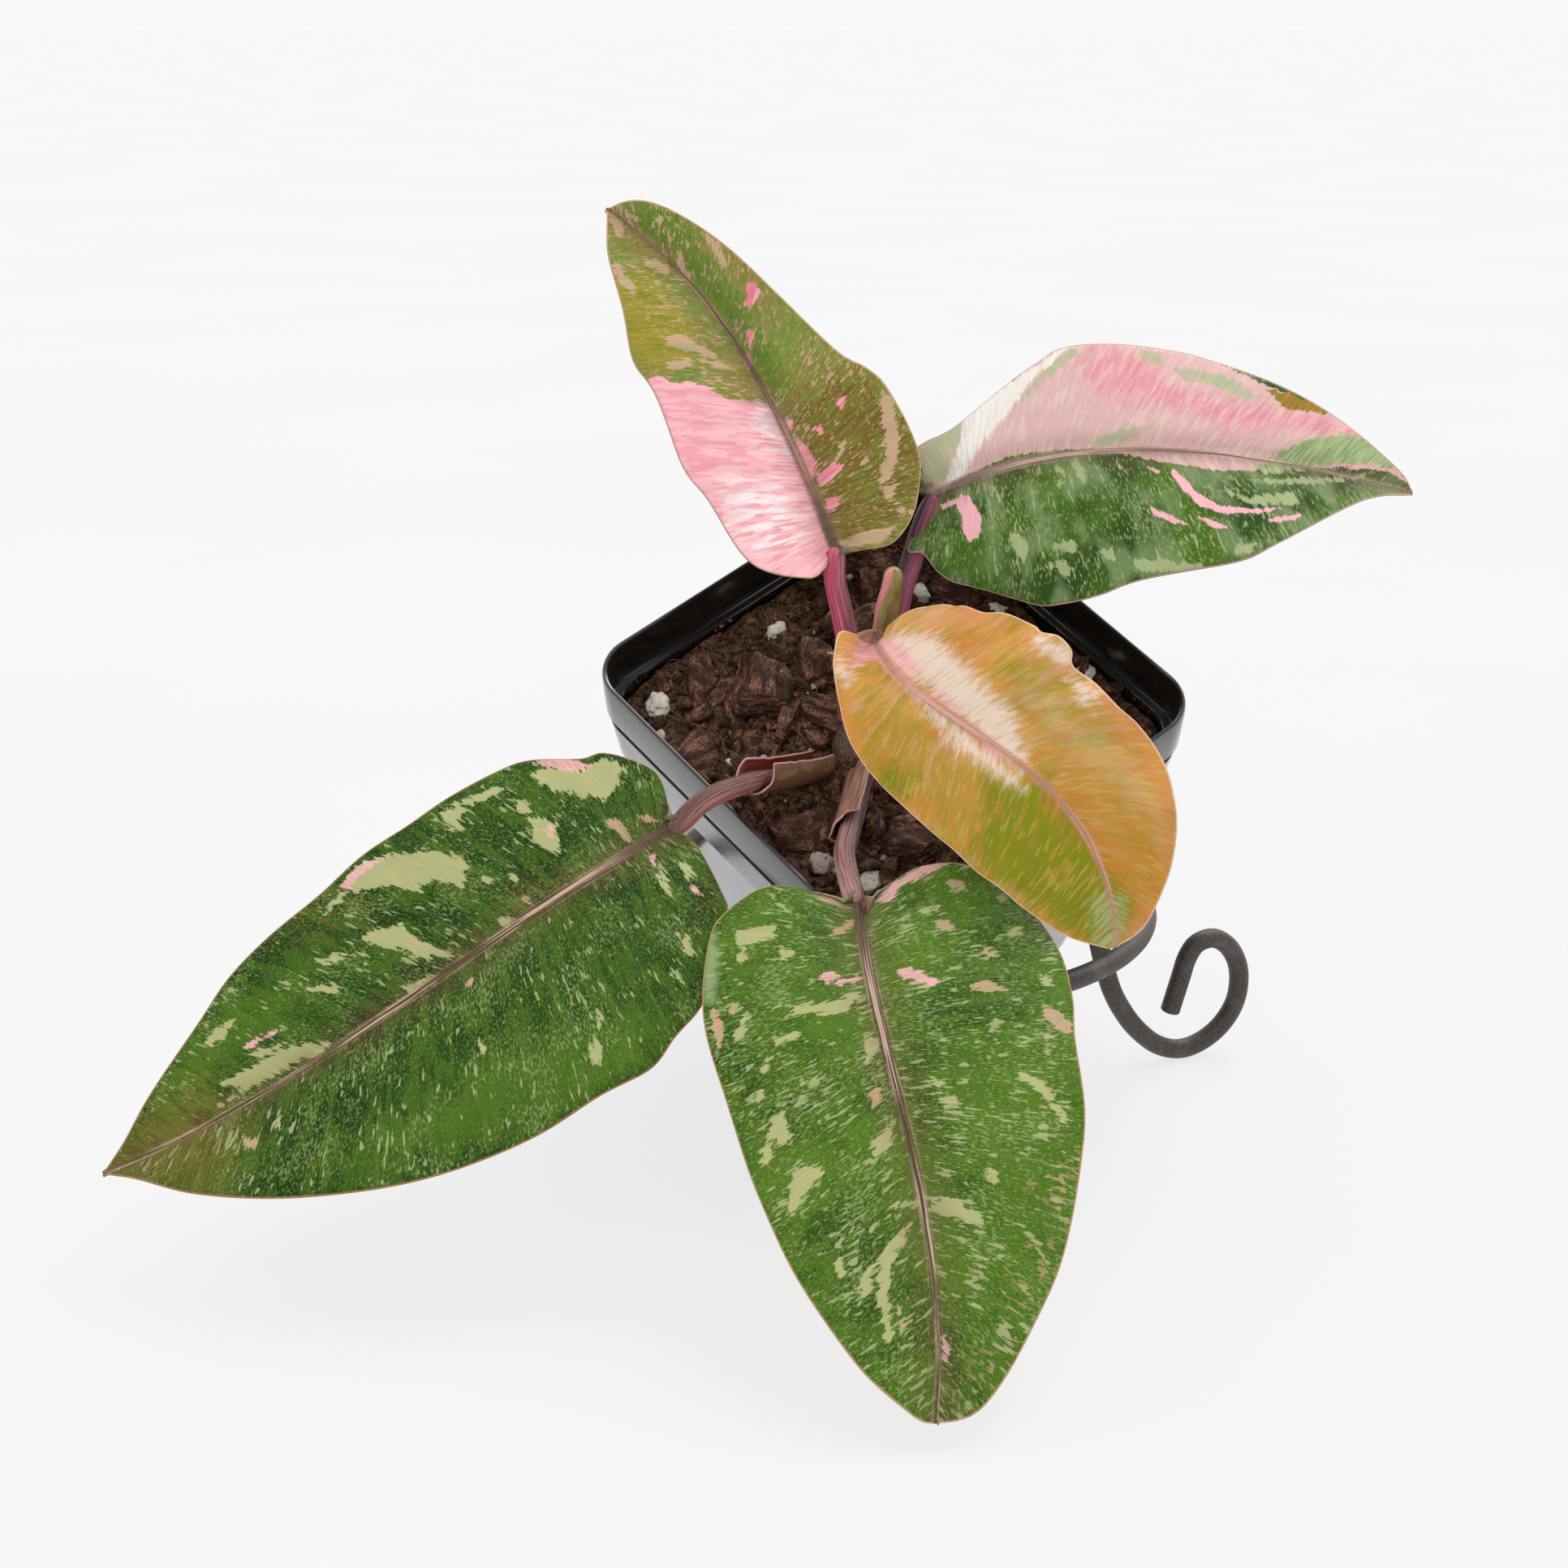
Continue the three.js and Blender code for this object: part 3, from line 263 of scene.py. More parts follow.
# Patches drawn one by one. An outline is a text of points in the leaf's own millimetres: the
# distance along the midrib from the stalk and the one away from it, negative on the left half.
PATCHES = {
    "a": {
        "lime": ["95,-15 90,-5.5 70.5,-7 61,-12.5 62.5,-23 75.5,-23.5"],
        "green": [
            "103.5,7.5 97,10.5 80,7 62.5,6.5 43.5,6 41.5,0.5 52,0.5 66.5,0 81,0.5 96,0.5 105.5,2",
        ],
        "brown": ["41,1.5 42,12.5 41.5,23 20,28 6,23.5 -3,13 -1,0 8.5,-1 27,0.5"],
        "salmon": [
            "34.5,25 31.5,26.5 25,25 17.5,22.5 13.5,19 11,15 13.5,15 17.5,19 22.5,20.5 28.5,22.5",
            "88.5,11 84.5,12 78.5,10 78,8 82.5,9.5", "92.5,-5 90.5,-1.5 86,-1 85.5,-3 89,-5",
            "71.5,-15.5 69.5,-11 62,-7 59,-6.5 63.5,-11 67.5,-15",
            "63.5,-18.5 62.5,-12.5 59.5,-12.5 60.5,-17.5", "60,-10 57.5,-5.5 54,-3.5 56.5,-8",
            "90,3.5 87.5,3.5 83.5,1.5 80.5,0.5 84,0",
            "98,-10 93,-11 86.5,-11.5 85.5,-13.5 90.5,-14 94.5,-13",
            "108,0 103.5,-1.5 101,-3.5 102.5,-4.5 107,-2", "105.5,2 102,3 101.5,2 104.5,1",
            "98.5,5.5 98,7 95,5.5 95.5,4.5", "11,16 10.5,18.5 7,16.5 8,15",
            "4.5,17 4.5,18.5 2,18.5 2,17", "25.5,10.5 27,13 22.5,10.5 22,8",
            "19,13 19.5,15 16.5,13.5 17,12", "1.5,0.5 2,7 0.5,15 -2.5,11 -1,3.5",
        ],
        "rose": [
            "72,10 71.5,12.5 68,12 66.5,8 68,6.5 69.5,9", "61.5,4 62,5.5 59.5,5 58,2.5 60,2.5",
            "56.5,-0.5 57,1.5 53.5,1 52.5,-1", "30.5,0 31.5,2.5 24.5,3.5 21.5,3 19.5,0.5 25.5,0",
            "20,2.5 21.5,7 20,9.5 17.5,5.5 17,2", "13.5,2.5 13,6 10,4 10,1.5",
            "31.5,6 31.5,9 29.5,7.5", "37,2 35.5,2.5 33.5,1.5 35.5,0.5",
            "36.5,14.5 36,16.5 33,14.5 34.5,14",
        ],
        "pink": [
            "62,-23.5 61,-21 57.5,-19 55.5,-15.5 53.5,-12.5 49.5,-11 47,-9.5 45.5,-6 43.5,-3.5 "
            "42,-1 39,-0.5 33,-0.5 26,0 18,-0.5 8.5,-1 1,-1.5 -4.5,-3.5 -8.5,-9.5 -7,-17 -0.5,-23 "
            "7.5,-25 23,-27.5 37,-29.5 54,-28",
        ],
        "cream": [
            "25.5,-19 21,-8.5 10,-5.5 2.5,-8 4,-17.5 11.5,-21",
            "41.5,-2.5 34.5,-0.5 27.5,-1 29,-6 36.5,-7",
        ],
    },
    "b": {
        "upper": [
            "1,-14.5 7.5,-16 14.5,-18.5 23.5,-22.5 34.5,-32 43,-31.5 58.5,-31 78,-20.5 98,-15 "
            "108.5,-12 116,-1.5 114,-2 108.5,-4 96,-2 78,3 66.5,5 55.5,3.5 42.5,0.5 32,-1.5 "
            "20.5,-2.5 11,-1.5 2.5,0 -1,-2.5",
        ],
        "band": [
            "40,-30 53,-26.5 56,-19 63,-16 72.5,-14.5 86,-14.5 96,-14.5 107.5,-11.5 115,-2.5 "
            "106.5,-9 86,-9.5 70.5,-7 57.5,-11 45,-13 38,-21.5",
        ],
        "white": [
            "10,-10 13,-18 22,-21.5 31,-27.5 37,-31.5 33,-27 27.5,-22 23.5,-16.5 20,-12 15,-8 "
            "7,-1 3,0.5 6.5,-5",
        ],
        "sage": [
            "1,-12.5 7,-15 11.5,-15.5 10.5,-10 6.5,-4.5 1,-1 -1,-5.5",
            "57,-23.5 61.5,-23.5 67,-22.5 72.5,-20 76.5,-16.5 72.5,-16 67,-18.5 61.5,-19.5 58,-21",
            "49.5,-29 54,-28 55,-25 52,-24.5",
            "32.5,-27 36,-29 37.5,-28.5 30.5,-21.5 24.5,-16 24,-17",
            "37.5,-2.5 45,-5.5 52,-6.5 48.5,-3.5 43,-1.5",
        ],
        "leafgreen": ["75.5,3 82,-3.5 90,-8.5 98,-11.5 107,-11 112.5,-6 106.5,-5 96,-3 86,1 78,4"],
        "olive": [
            "78,-19.5 84,-19 95,-16.5 91,-15 82,-15",
            "104.5,-12 109,-9.5 114.5,-2 112.5,-4 108,-8.5",
        ],
        "pink": [
            "6,2.5 8.5,4.5 9,8 10,12 7.5,16 4.5,16.5 4,12 5,10 5,5.5", "1,3 6.5,3.5 6.5,5 1,4.5",
            "55,5 57.5,6 61,11.5 66.5,15 74,15 81.5,13.5 76,16 68,17.5 62.5,16 58,11",
            "50,16 53,17.5 60,21 56.5,21 52,19", "61.5,18.5 64.5,19.5 69.5,21 65,21.5",
            "77.5,17.5 86,14 85,16 79.5,18", "94,-1 102,-4 111.5,-4 106.5,-4 98,-2",
            "47,4.5 48,8.5 47,7", "43.5,3 45.5,6.5 44,5.5", "50,4.5 54.5,6.5 52.5,7",
        ],
        "beige": [
            "46.5,30 50.5,29.5 56.5,30.5 64.5,31 60.5,33 52.5,33 47,32.5",
            "15.5,18.5 18,19 19.5,23.5 18.5,26.5 16.5,25 15.5,21", "26.5,24 31,24 33,27.5 28.5,27",
            "22,29.5 27,28 30,31 28.5,33 25.5,30", "70,26 75,24.5 74,27 70.5,28",
            "34,1 36,4.5 35.5,9.5 34.5,8 33.5,3.5", "29.5,2.5 31.5,4.5 30,7", "37,0 39,5 38,3.5",
            "66.5,10 74,14 86,11.5 84,8 78,10.5 72,12", "13,1.5 14.5,4.5 15.5,11 14.5,9",
            "74,6.5 90,2.5 102,-0.5 90,4.5 80,7", "37.5,27.5 41,27 41.5,30 39,29.5",
        ],
        "edge": ["73,24 85.5,16 102,2.5 113,-2 108,3.5 89,18.5 77.5,27.5"],
    },
    "c": {
        "gold": [
            "7,7.5 16,3.5 36,6.5 49.5,8.5 55,21 41,20.5 28,18.5 16.5,14.5",
            "37.5,-23.5 52,-20 62,-19 53.5,-5 42,-9 30.5,-15",
        ],
        "lime": [
            "41.5,6 50.5,4 61,2.5 74.5,0.5 85.5,-4.5 94,-2.5 92.5,6.5 82,16.5 66,22 53,21.5 "
            "51,14.5 45.5,9.5",
            "22.5,18 27.5,15 33,16.5 33,21 26,21.5", "47.5,6 55,-1.5 60,3.5 55,11",
        ],
        "straw": ["50.5,-3.5 62.5,-14 73,-15.5 80,-16 86,-9.5 84,-4 71.5,-1 60,-0.5"],
        "cream": [
            "0,-1.5 -0.5,-6 8.5,-11.5 20,-11.5 31,-9 37.5,-8.5 42.5,-6.5 47,-3 49.5,1 48,1 40,0 "
            "29.5,-1.5 21,-2 12.5,-2 6.5,-1.5",
            "15,0 26.5,0.5 37,2 48.5,3 51.5,4 49,5 40.5,4.5 36.5,5 28.5,3 19.5,1",
            "32,-25 36,-25.5 40.5,-25.5 43,-24 40,-23 36,-23",
            "45.5,-21.5 48,-22.5 51,-21.5 49.5,-19", "-0.5,8.5 4.5,8.5 5,10 2,10",
        ],
        "mist": [
            "40,-14.5 51,-16 61.5,-17.5 70.5,-17 75.5,-15 68.5,-12.5 60,-10 50,-9.5",
            "-5.5,-7.5 -1.5,-17.5 10,-20 10,-11 0.5,-6.5",
        ],
        "rose": [
            "-4,2.5 -1,-2 5,-5 15.5,-3.5 11,-1.5 4,0 3,4 3,7.5 -1.5,4.5",
            "14.5,-3 26.5,-2 39.5,0.5 42.5,1.5 33,-0.5 21.5,-2",
        ],
        "amber": [
            "-3.5,7.5 -7.5,4.5 -7,2.5 -2,2.5 2.5,6.5 4,10",
            "-6,-9.5 8.5,-23 23,-25 22.5,-21 5,-15.5 -2,-7.5", "91,-0.5 88,-7 92,-7 93.5,-1",
            "63.5,-22 72,-20.5 80.5,-16.5 79.5,-13.5 72,-17",
            "29.5,-25.5 40.5,-28 46.5,-24.5 55,-26 64.5,-23.5 61.5,-21 53,-21 45,-21 40.5,-22.5",
        ],
        "deep": [
            "58,2 65,0 74.5,0.5 82.5,0.5 79,6.5 67.5,7", "54.5,16.5 58,13.5 69.5,16.5 63.5,19.5",
        ],
        "sage": ["83,5.5 81.5,1 84,-3 91.5,-2.5 94.5,0.5 91.5,5.5"],
    },
    "d": {
        "fresh": [
            "56.5,-24 36,-35 28,-34.5 24.5,-39 37,-45.5 54,-45.5 68.5,-38 83,-33 97,-25 82,-23",
            "126,16 103.5,23.5 83,19 92.5,12 113.5,7.5 125,3.5",
        ],
        "tip": ["143,0 130.5,10 114.5,10 110,-7.5 118,-19 131,-11"],
        "beige": [
            "17.5,30.5 13,29 8.5,24 2.5,24 0.5,19.5 4,16 8.5,14 12,18.5 15,22 17,26",
            "24.5,20 22,19 20,15.5 21,12 23,8.5 25,10.5 26,14.5 25,17.5",
            "24.5,25.5 22,24 23,21.5 25,23",
            "65.5,35 62,36.5 56.5,35.5 50,31 43.5,25.5 40.5,20.5 41,18 44,15 48,19.5 51.5,22.5 "
            "52,19.5 56,24 58.5,27.5 64,30",
            "67.5,19.5 63,17.5 59.5,16 59,11.5 56.5,7 53.5,2.5 57,4 61,6.5 62,10 66,14 68.5,18",
            "66.5,3 61,1.5 57.5,0 61.5,-1 65.5,0.5",
            "111,7 105.5,7 99,6.5 96,6.5 90,4.5 85,1.5 88.5,0.5 93,2 99,2.5 105,2.5 107.5,2 "
            "107.5,5",
            "104.5,10.5 100,9.5 94,7.5 99,7", "85,15.5 80.5,14.5 77.5,11.5 80,11.5",
            "81,21 76,19.5 73,16.5 77,17.5",
            "39.5,34.5 37,34.5 33,31.5 37,30.5 36,26.5 38,27 39,31", "41,14 38.5,13.5 37,11 39,11",
            "35.5,11 33,9.5 34.5,8", "37.5,-29.5 35.5,-30 38,-32.5 39,-32",
            "42.5,-35 40,-33 40.5,-36.5 42.5,-39 44.5,-38",
            "59.5,-18.5 59,-21.5 60.5,-24.5 60.5,-21.5", "103,-8 100.5,-8 102,-11 103.5,-10",
            "13.5,-23.5 12,-26 13.5,-30 14.5,-29.5 14.5,-26.5", "18.5,-28.5 18,-31 19,-34 20,-32.5",
            "4,-8.5 2,-10 3,-14.5 4.5,-13", "7,-5.5 7.5,-9 9,-13 9.5,-16 10.5,-14 9.5,-9.5",
            "35,34.5 27.5,32.5 24,31 28.5,30.5 33.5,31.5", "43,3.5 40.5,3 38.5,0.5 42.5,0.5",
            "112,18.5 107,20 102.5,19.5 105.5,17 110.5,16.5",
            "64,32.5 67.5,32.5 72.5,31.5 74,30 68.5,30.5",
        ],
        "salmon": [
            "11,10.5 9,8.5 8,3 9.5,2.5 11,7", "5,7 2.5,5.5 1.5,3.5 4,4.5", "55,-5 53.5,-5 55.5,-8",
            "110,-7 107.5,-10 108.5,-12 110.5,-9.5", "60,13 59,10 58,6.5 60,9.5",
            "36,4.5 34,5 34.5,2.5", "117.5,2 113,3 109,3 112.5,2",
        ],
        "pink": [
            "15.5,33 9,29 6,24 8.5,23.5 12,27 15,31",
            "67.5,34 63.5,36 57.5,35.5 53,33 57.5,33.5 62,33.5 65.5,31.5",
            "103.5,12 99.5,12.5 94.5,11 97.5,10.5 101.5,11", "7.5,-3 6.5,-4 9,-7",
            "23,17.5 21,15.5 21.5,12.5 22.5,14", "4.5,-14 3.5,-16.5 4,-19 5,-17.5",
        ],
        "rust": [
            "85,31.5 70.5,35.5 63,32 63.5,26.5 70,22.5 80,25.5", "1,-15 0,-22 4,-26.5 6,-21.5",
            "34.5,6.5 31.5,5.5 35.5,2.5 38,5",
        ],
    },
    "e": {
        "fresh": ["37.5,-14.5 37,-33 52,-36 73.5,-28.5 89.5,-16.5 83,-8 62,-13.5 47,-7"],
        "beige": [
            "58,24 57.5,21.5 59,17.5 61.5,19.5 65,22.5 67,24.5 67.5,26 63,25.5 60.5,24",
            "69.5,-1 69,-4 70.5,-7 72.5,-9 73.5,-11 76,-11 75,-7.5 73,-4 71,-1",
            "74.5,5 74,3 77.5,5.5 81.5,8 88,9 96.5,9 97,10 89.5,11 83,11 78,9",
            "85.5,14.5 81,12 86,12 88,14", "28.5,30.5 22.5,28 23.5,25.5 27.5,28",
            "46.5,26 45,23 50,23 52.5,23 52,25.5 50,27", "50.5,28.5 52,27 57,28 56.5,29.5",
            "23.5,18.5 23,13 23.5,8 21.5,4 22,2.5 26,6.5 26,12 25,16.5",
            "47,-24.5 48,-27 51,-29.5 55,-31 59.5,-31.5 59,-30.5 54,-28.5 50,-25.5",
            "55.5,7.5 53,3.5 54,2.5 58.5,5 59,7", "33,4 32,2 35,1.5 39,5",
            "5,27 4.5,23.5 4,18.5 7,18 7.5,22.5 8.5,25.5", "10,27 9.5,25 11,24 11.5,26.5",
            "10.5,17.5 10.5,15.5 12,14.5 12,17", "33,25 33,23.5 36,25 35.5,26",
            "29.5,22 28.5,18 29.5,17 31.5,21.5", "70,6 68.5,4.5 70.5,4.5 72,6",
            "45,-7.5 46,-10 47.5,-8.5 46.5,-7.5", "48.5,-7.5 50,-11 52,-11.5 51,-8.5",
            "21.5,-7.5 23.5,-12.5 24.5,-13 23,-8", "80.5,18.5 79,17.5 82.5,17 84,18",
            "10.5,-30.5 9,-33 12,-34 13,-31", "65.5,-12.5 66.5,-15 69,-15 67,-13",
            "3,-12 2,-17 4,-17 4.5,-13.5", "40.5,28 39,26.5 42,27 43,28",
            "24.5,-34.5 26,-36.5 29,-37 27.5,-34.5", "39,19.5 38.5,17.5 40.5,18",
        ],
        "salmon": [
            "25.5,-19 25,-24 28,-28 28,-25 27,-20.5", "6.5,-15 6.5,-18.5 9.5,-19.5 9.5,-16.5",
            "-4,-19.5 -5,-22.5 -2,-23.5 -2.5,-20",
            "32.5,-32.5 34,-35.5 38,-38.5 41,-37.5 38.5,-34.5 36.5,-33.5",
            "38.5,-31 41,-33 44,-33.5", "7.5,6.5 4,2.5 3.5,0.5 7.5,4",
            "45.5,6 44,3.5 47,3.5 48.5,5.5", "19.5,33.5 21.5,32.5 26,32 29,33.5 23.5,34",
            "-2.5,10 -1.5,5 1.5,2 -0.5,6.5", "20,29.5 20,28 22.5,29 22,30",
            "74.5,5 74,3 77,5 77.5,6", "94.5,7 92,6.5 89,7.5",
            "15,-23.5 16.5,-26.5 18.5,-28 17.5,-24.5",
        ],
        "pink": [
            "18,-5.5 18.5,-9 21,-12 23,-14.5 24,-12.5 22,-9.5 20,-6",
            "-0.5,-3.5 -5,-7.5 -8,-13 -10,-18.5 -8.5,-20 -6,-14 -3.5,-9.5 0.5,-6.5",
            "17.5,11.5 16,8.5 18,6.5 19,9", "19,7 18,5 19.5,5 20.5,6.5",
            "95,-0.5 95,-1.5 100,-2.5 100,-1", "18,4.5 17,2 19,1.5 19.5,4",
        ],
        "rust": [
            "81,-15.5 79.5,-24 88.5,-26 97,-18.5 103,-13 107.5,-5.5 102,-6.5 92,-15",
            "67,-22 61.5,-31.5 69.5,-31.5 79,-26 76,-22.5",
        ],
        # The mauve patch on the left edge marks a painted highlight, which the last coat fills with
        # pale sage
        "mauve": ["5.5,34 3.5,31.5 8,30.5 19,32.5 18.5,35"],
    },
}

# How each blade is coloured. The ground is two broad tones, a fleck of a third and how strong.
GROUND = {
    "a": ("olive", "fresh", "salmon", 0.3),
    "b": ("green", "moss", "deep", 0.3),
    "c": ("ochre", "amber", "gold", 0.4),
    "d": ("green", "deep", "deep", 0.35),
    "e": ("green", "moss", "deep", 0.35),
}

# Two tones of the midrib and the tone of the blade's edge
MIDRIBS = {
    "a": ("#A07C69", "#5E4A3D", "#D0A184"),
    "b": ("#D0AEA6", "#8A7062", "#C49A8E"),
    "c": ("#DFA59C", "#B98470", "#E8BFA0"),
    "d": ("#D6B2A0", "#5C4735", "#B07E60"),
    "e": ("#D2AEA0", "#5C4838", "#C09A74"),
}

# Coats that both of the green blades have
GREEN_PATCHES = [
    dict(fills="beige", tone="beige", streak="straw", streaky=(0.45, 0.8), fray=1.2),
    dict(fills="salmon", tone="salmon", streak="beige", fray=0.9, share=0.85),
    dict(fills="pink", tone="pink", streak="salmon", fray=1, share=0.85),
]

# The coats of each blade, painted in this order: the patches it fills, or else the whole blade,
# its tone, and how much of what lies under it the coat hides, its share. Soft is the half width
# of a patch's edge in mm and fray how far that edge wanders. Streak is a second tone in lines
# along the side veins, and streaky the levels between which it sets in. Specks are scattered
# cells: how rare, how wide across the veins and how long along them, in mm. Blend is how softly
# a speck ends, and crowd how much the specks gather in places.
COATS = {
    "a": [
        dict(fills="lime", tone="gold", streak="lime", soft=3, fray=3, share=0.9),
        dict(fills="green", tone="moss", streak="fresh", soft=2.5, fray=3, share=0.85),
        dict(fills="brown", tone="brown", streak="olive", soft=4, fray=4, share=0.9),
        dict(tone="fresh", specks=(0.56, 0.8, 7), share=0.5),
        dict(tone="beige", specks=(0.62, 0.7, 1.6), share=0.6),
        dict(tone="salmon", specks=(0.62, 0.8, 2.4), crowd=0.45, share=0.75),
        dict(fills="salmon", tone="salmon", streak="beige", fray=1, share=0.85),
        dict(fills="rose", tone="rose", streak="pink", fray=0.8),
        dict(fills="pink", tone="pink", streak="rose", streaky=(0.5, 0.8), fray=0.9),
        dict(fills="pink", tone="rose", specks=(0.5, 2, 8), fray=0.9, crowd=0.5, share=0.4),
        dict(fills="cream", tone="white", specks=(0.4, 1.8, 9), blend=0.12, soft=5, fray=4,
             share=0.75),
    ],
    "b": [
        # A broad, soft sage veil over the whole blade: a painted sheen, not a colour of the leaf
        dict(tone="sage", specks=(0.42, 8, 14), blend=0.25, share=0.36),
        dict(tone="speckle", specks=(0.57, 0.6, 1.6), crowd=0.35, share=0.65),
        dict(tone="beige", specks=(0.63, 1, 4.5), crowd=0.4, share=0.8),
        dict(fills="upper", tone="blush", streak="pink", streaky=(0.35, 0.85), fray=0.7),
        dict(fills="band", tone="rose", streak="pink", streaky=(0.35, 0.8), soft=3, fray=3,
             share=0.7),
        dict(fills="upper", tone="cream", specks=(0.5, 1.4, 7), blend=0.15, fray=0.7, share=0.35),
        dict(fills="sage", tone="sage", streak="blush", streaky=(0.4, 0.7), soft=0.5, fray=1.5),
        dict(fills="leafgreen", tone="sage", streak="fresh", streaky=(0.4, 0.75), soft=0.5,
             fray=1.2),
        dict(fills="olive", tone="olive", streak="amber", fray=1.2),
        dict(fills="white", tone="white", streak="cream", soft=0.6, fray=1.2),
        dict(fills="edge", tone="moss", streak="sage", soft=2, fray=3, share=0.6),
        dict(fills="beige", tone="beige", streak="sage", fray=1.1, share=0.9),
        dict(fills="pink", tone="pink", streak="rose", streaky=(0.45, 0.9), soft=0.2, fray=0.5),
    ],
    "c": [
        dict(fills="gold", tone="gold", streak="lime", streaky=(0.3, 0.8), soft=4, fray=3,
             share=0.6),
        dict(tone="lime", specks=(0.46, 5, 13), blend=0.2, crowd=0.4, share=0.5),
        dict(tone="salmon", specks=(0.5, 3, 10), blend=0.2, crowd=0.4, share=0.45),
        dict(fills="straw", tone="gold", streak="amber", streaky=(0.3, 0.8), soft=4, fray=3,
             share=0.8),
        dict(fills="deep", tone="moss", streak="olive", streaky=(0.3, 0.8), soft=4, fray=2,
             share=0.7),
        dict(fills="lime", tone="lime", streak="olive", streaky=(0.4, 0.8), soft=3, fray=2),
        dict(fills="mist", tone="straw", streak="cream", streaky=(0.3, 0.8), soft=4, fray=3,
             share=0.35),
        dict(fills="sage", tone="sage", streak="lime", soft=1.5, fray=2, share=0.8),
        dict(fills="amber", tone="amber", streak="salmon", streaky=(0.3, 0.8), soft=2.5, fray=2,
             share=0.55),
        dict(tone="amber", specks=(0.5, 1, 9), blend=0.15, crowd=0.3, share=0.4),
        dict(tone="straw", specks=(0.54, 0.8, 5), blend=0.12, crowd=0.35, share=0.35),
        dict(fills="cream", tone="cream", streak="salmon", streaky=(0.5, 0.78), soft=2.6, fray=2.4,
             share=0.88),
        dict(fills="rose", tone="pink", streak="rose", soft=1.2, fray=2, share=0.75),
    ],
    "d": [
        dict(fills="fresh", tone="moss", soft=6, fray=5, share=0.7),
        dict(tone="moss", specks=(0.5, 3, 12), share=0.4),
        dict(fills="tip", tone="olive", streak="brown", soft=8, fray=5, share=0.6),
        dict(fills="rust", tone="brown", soft=4, fray=4, specks=(0.5, 1.1, 1.8), share=0.6),
        dict(tone="fresh", specks=(0.54, 0.4, 0.8), share=0.45),
        dict(tone="speckle", specks=(0.61, 0.5, 1.1), crowd=0.6, share=0.5),
        dict(tone="beige", specks=(0.655, 0.9, 4.5), crowd=0.5, share=0.75),
        dict(tone="beige", specks=(0.69, 2, 5), crowd=0.45, share=0.8),
        *GREEN_PATCHES,
    ],
    "e": [
        dict(fills="fresh", tone="moss", soft=6, fray=5, share=0.7),
        dict(tone="moss", specks=(0.5, 3, 12), share=0.5),
        dict(fills="rust", tone="salmon", soft=4, fray=4, specks=(0.57, 0.9, 2.2), share=0.6),
        dict(tone="fresh", specks=(0.51, 0.4, 0.8), share=0.55),
        dict(tone="speckle", specks=(0.59, 0.5, 1.4), crowd=0.55, share=0.6),
        dict(tone="beige", specks=(0.625, 0.9, 4.5), crowd=0.45, share=0.8),
        dict(tone="beige", specks=(0.66, 1.8, 5), crowd=0.4, share=0.8),
        *GREEN_PATCHES,
        # Pale sage in the mauve patch: a painted highlight along the left edge
        dict(fills="mauve", tone="sage", soft=1.5, fray=1, share=0.6),
    ],
}


# Curves and relief
class Line:
    """A curve kept as many short steps and read by the share of its length."""

    def __init__(self, points):
        self.points = np.asarray(points, float)
        steps = np.linalg.norm(np.diff(self.points, axis=0), axis=1)
        self.along = np.concatenate([[0], np.cumsum(steps)])
        self.length = self.along[-1]

    def at(self, share):
        spot = np.asarray(share, float) * self.length
        columns = [np.interp(spot, self.along, column) for column in self.points.T]
        return np.stack(columns, axis=-1)

    def heading(self, share):
        step = 0.002
        ahead = self.at(np.clip(np.asarray(share) + step, 0, 1))
        return unit(ahead - self.at(np.clip(np.asarray(share) - step, 0, 1)))


def unit(vectors):
    return vectors / np.linalg.norm(vectors, axis=-1, keepdims=True)


def span_between(b, c, out, home, share):
    """Points of a curve from b to c that sets out along one vector and comes home along the
    other."""
    cube, square = 2 * b - 2 * c + out + home, -3 * b + 3 * c - 2 * out - home
    return b + out * share + square * share**2 + cube * share**3


def bend(points, steps=24):
    """A smooth line through points, whose spans are eased by the root of their lengths."""
    points = np.asarray(points, float)
    ends = np.vstack([2 * points[0] - points[1], points, 2 * points[-1] - points[-2]])
    share = np.linspace(0, 1, steps, endpoint=False)[:, None]
    made = []
    for a, b, c, d in zip(ends, ends[1:], ends[2:], ends[3:]):
        legs = ((a, b), (b, c), (c, d))
        before, span, after = (math.sqrt(np.linalg.norm(q - p)) for p, q in legs)
        out = ((b - a) / before - (c - a) / (before + span) + (c - b) / span) * span
        home = ((c - b) / span - (d - b) / (span + after) + (d - c) / after) * span
        made.append(span_between(b, c, out, home, share))
    return Line(np.vstack(made + [points[-1:]]))


def outline_curve(points, steps=20):
    """A leaf's edge as an even spline through its outline."""
    points = np.asarray(points, float)
    ends = np.vstack([points[0], points, points[-1]])
    share = np.linspace(0, 1, steps, endpoint=False)[:, None]
    made = []
    for a, b, c, d in zip(ends, ends[1:], ends[2:], ends[3:]):
        out, home = (c - a) / 2, (d - b) / 2
        made.append(span_between(b, c, out, home, share))
    return Line(np.vstack(made + [points[-1:]]))


def cubic(points, steps=400):
    """The cubic curve that four points pull into shape."""
    a, b, c, d = (np.asarray(point, float) for point in points)
    share = np.linspace(0, 1, steps)[:, None]
    rest = 1 - share
    weights = (rest**3, 3 * rest**2 * share, 3 * rest * share**2, share**3)
    return Line(sum(w * point for w, point in zip(weights, (a, b, c, d))))


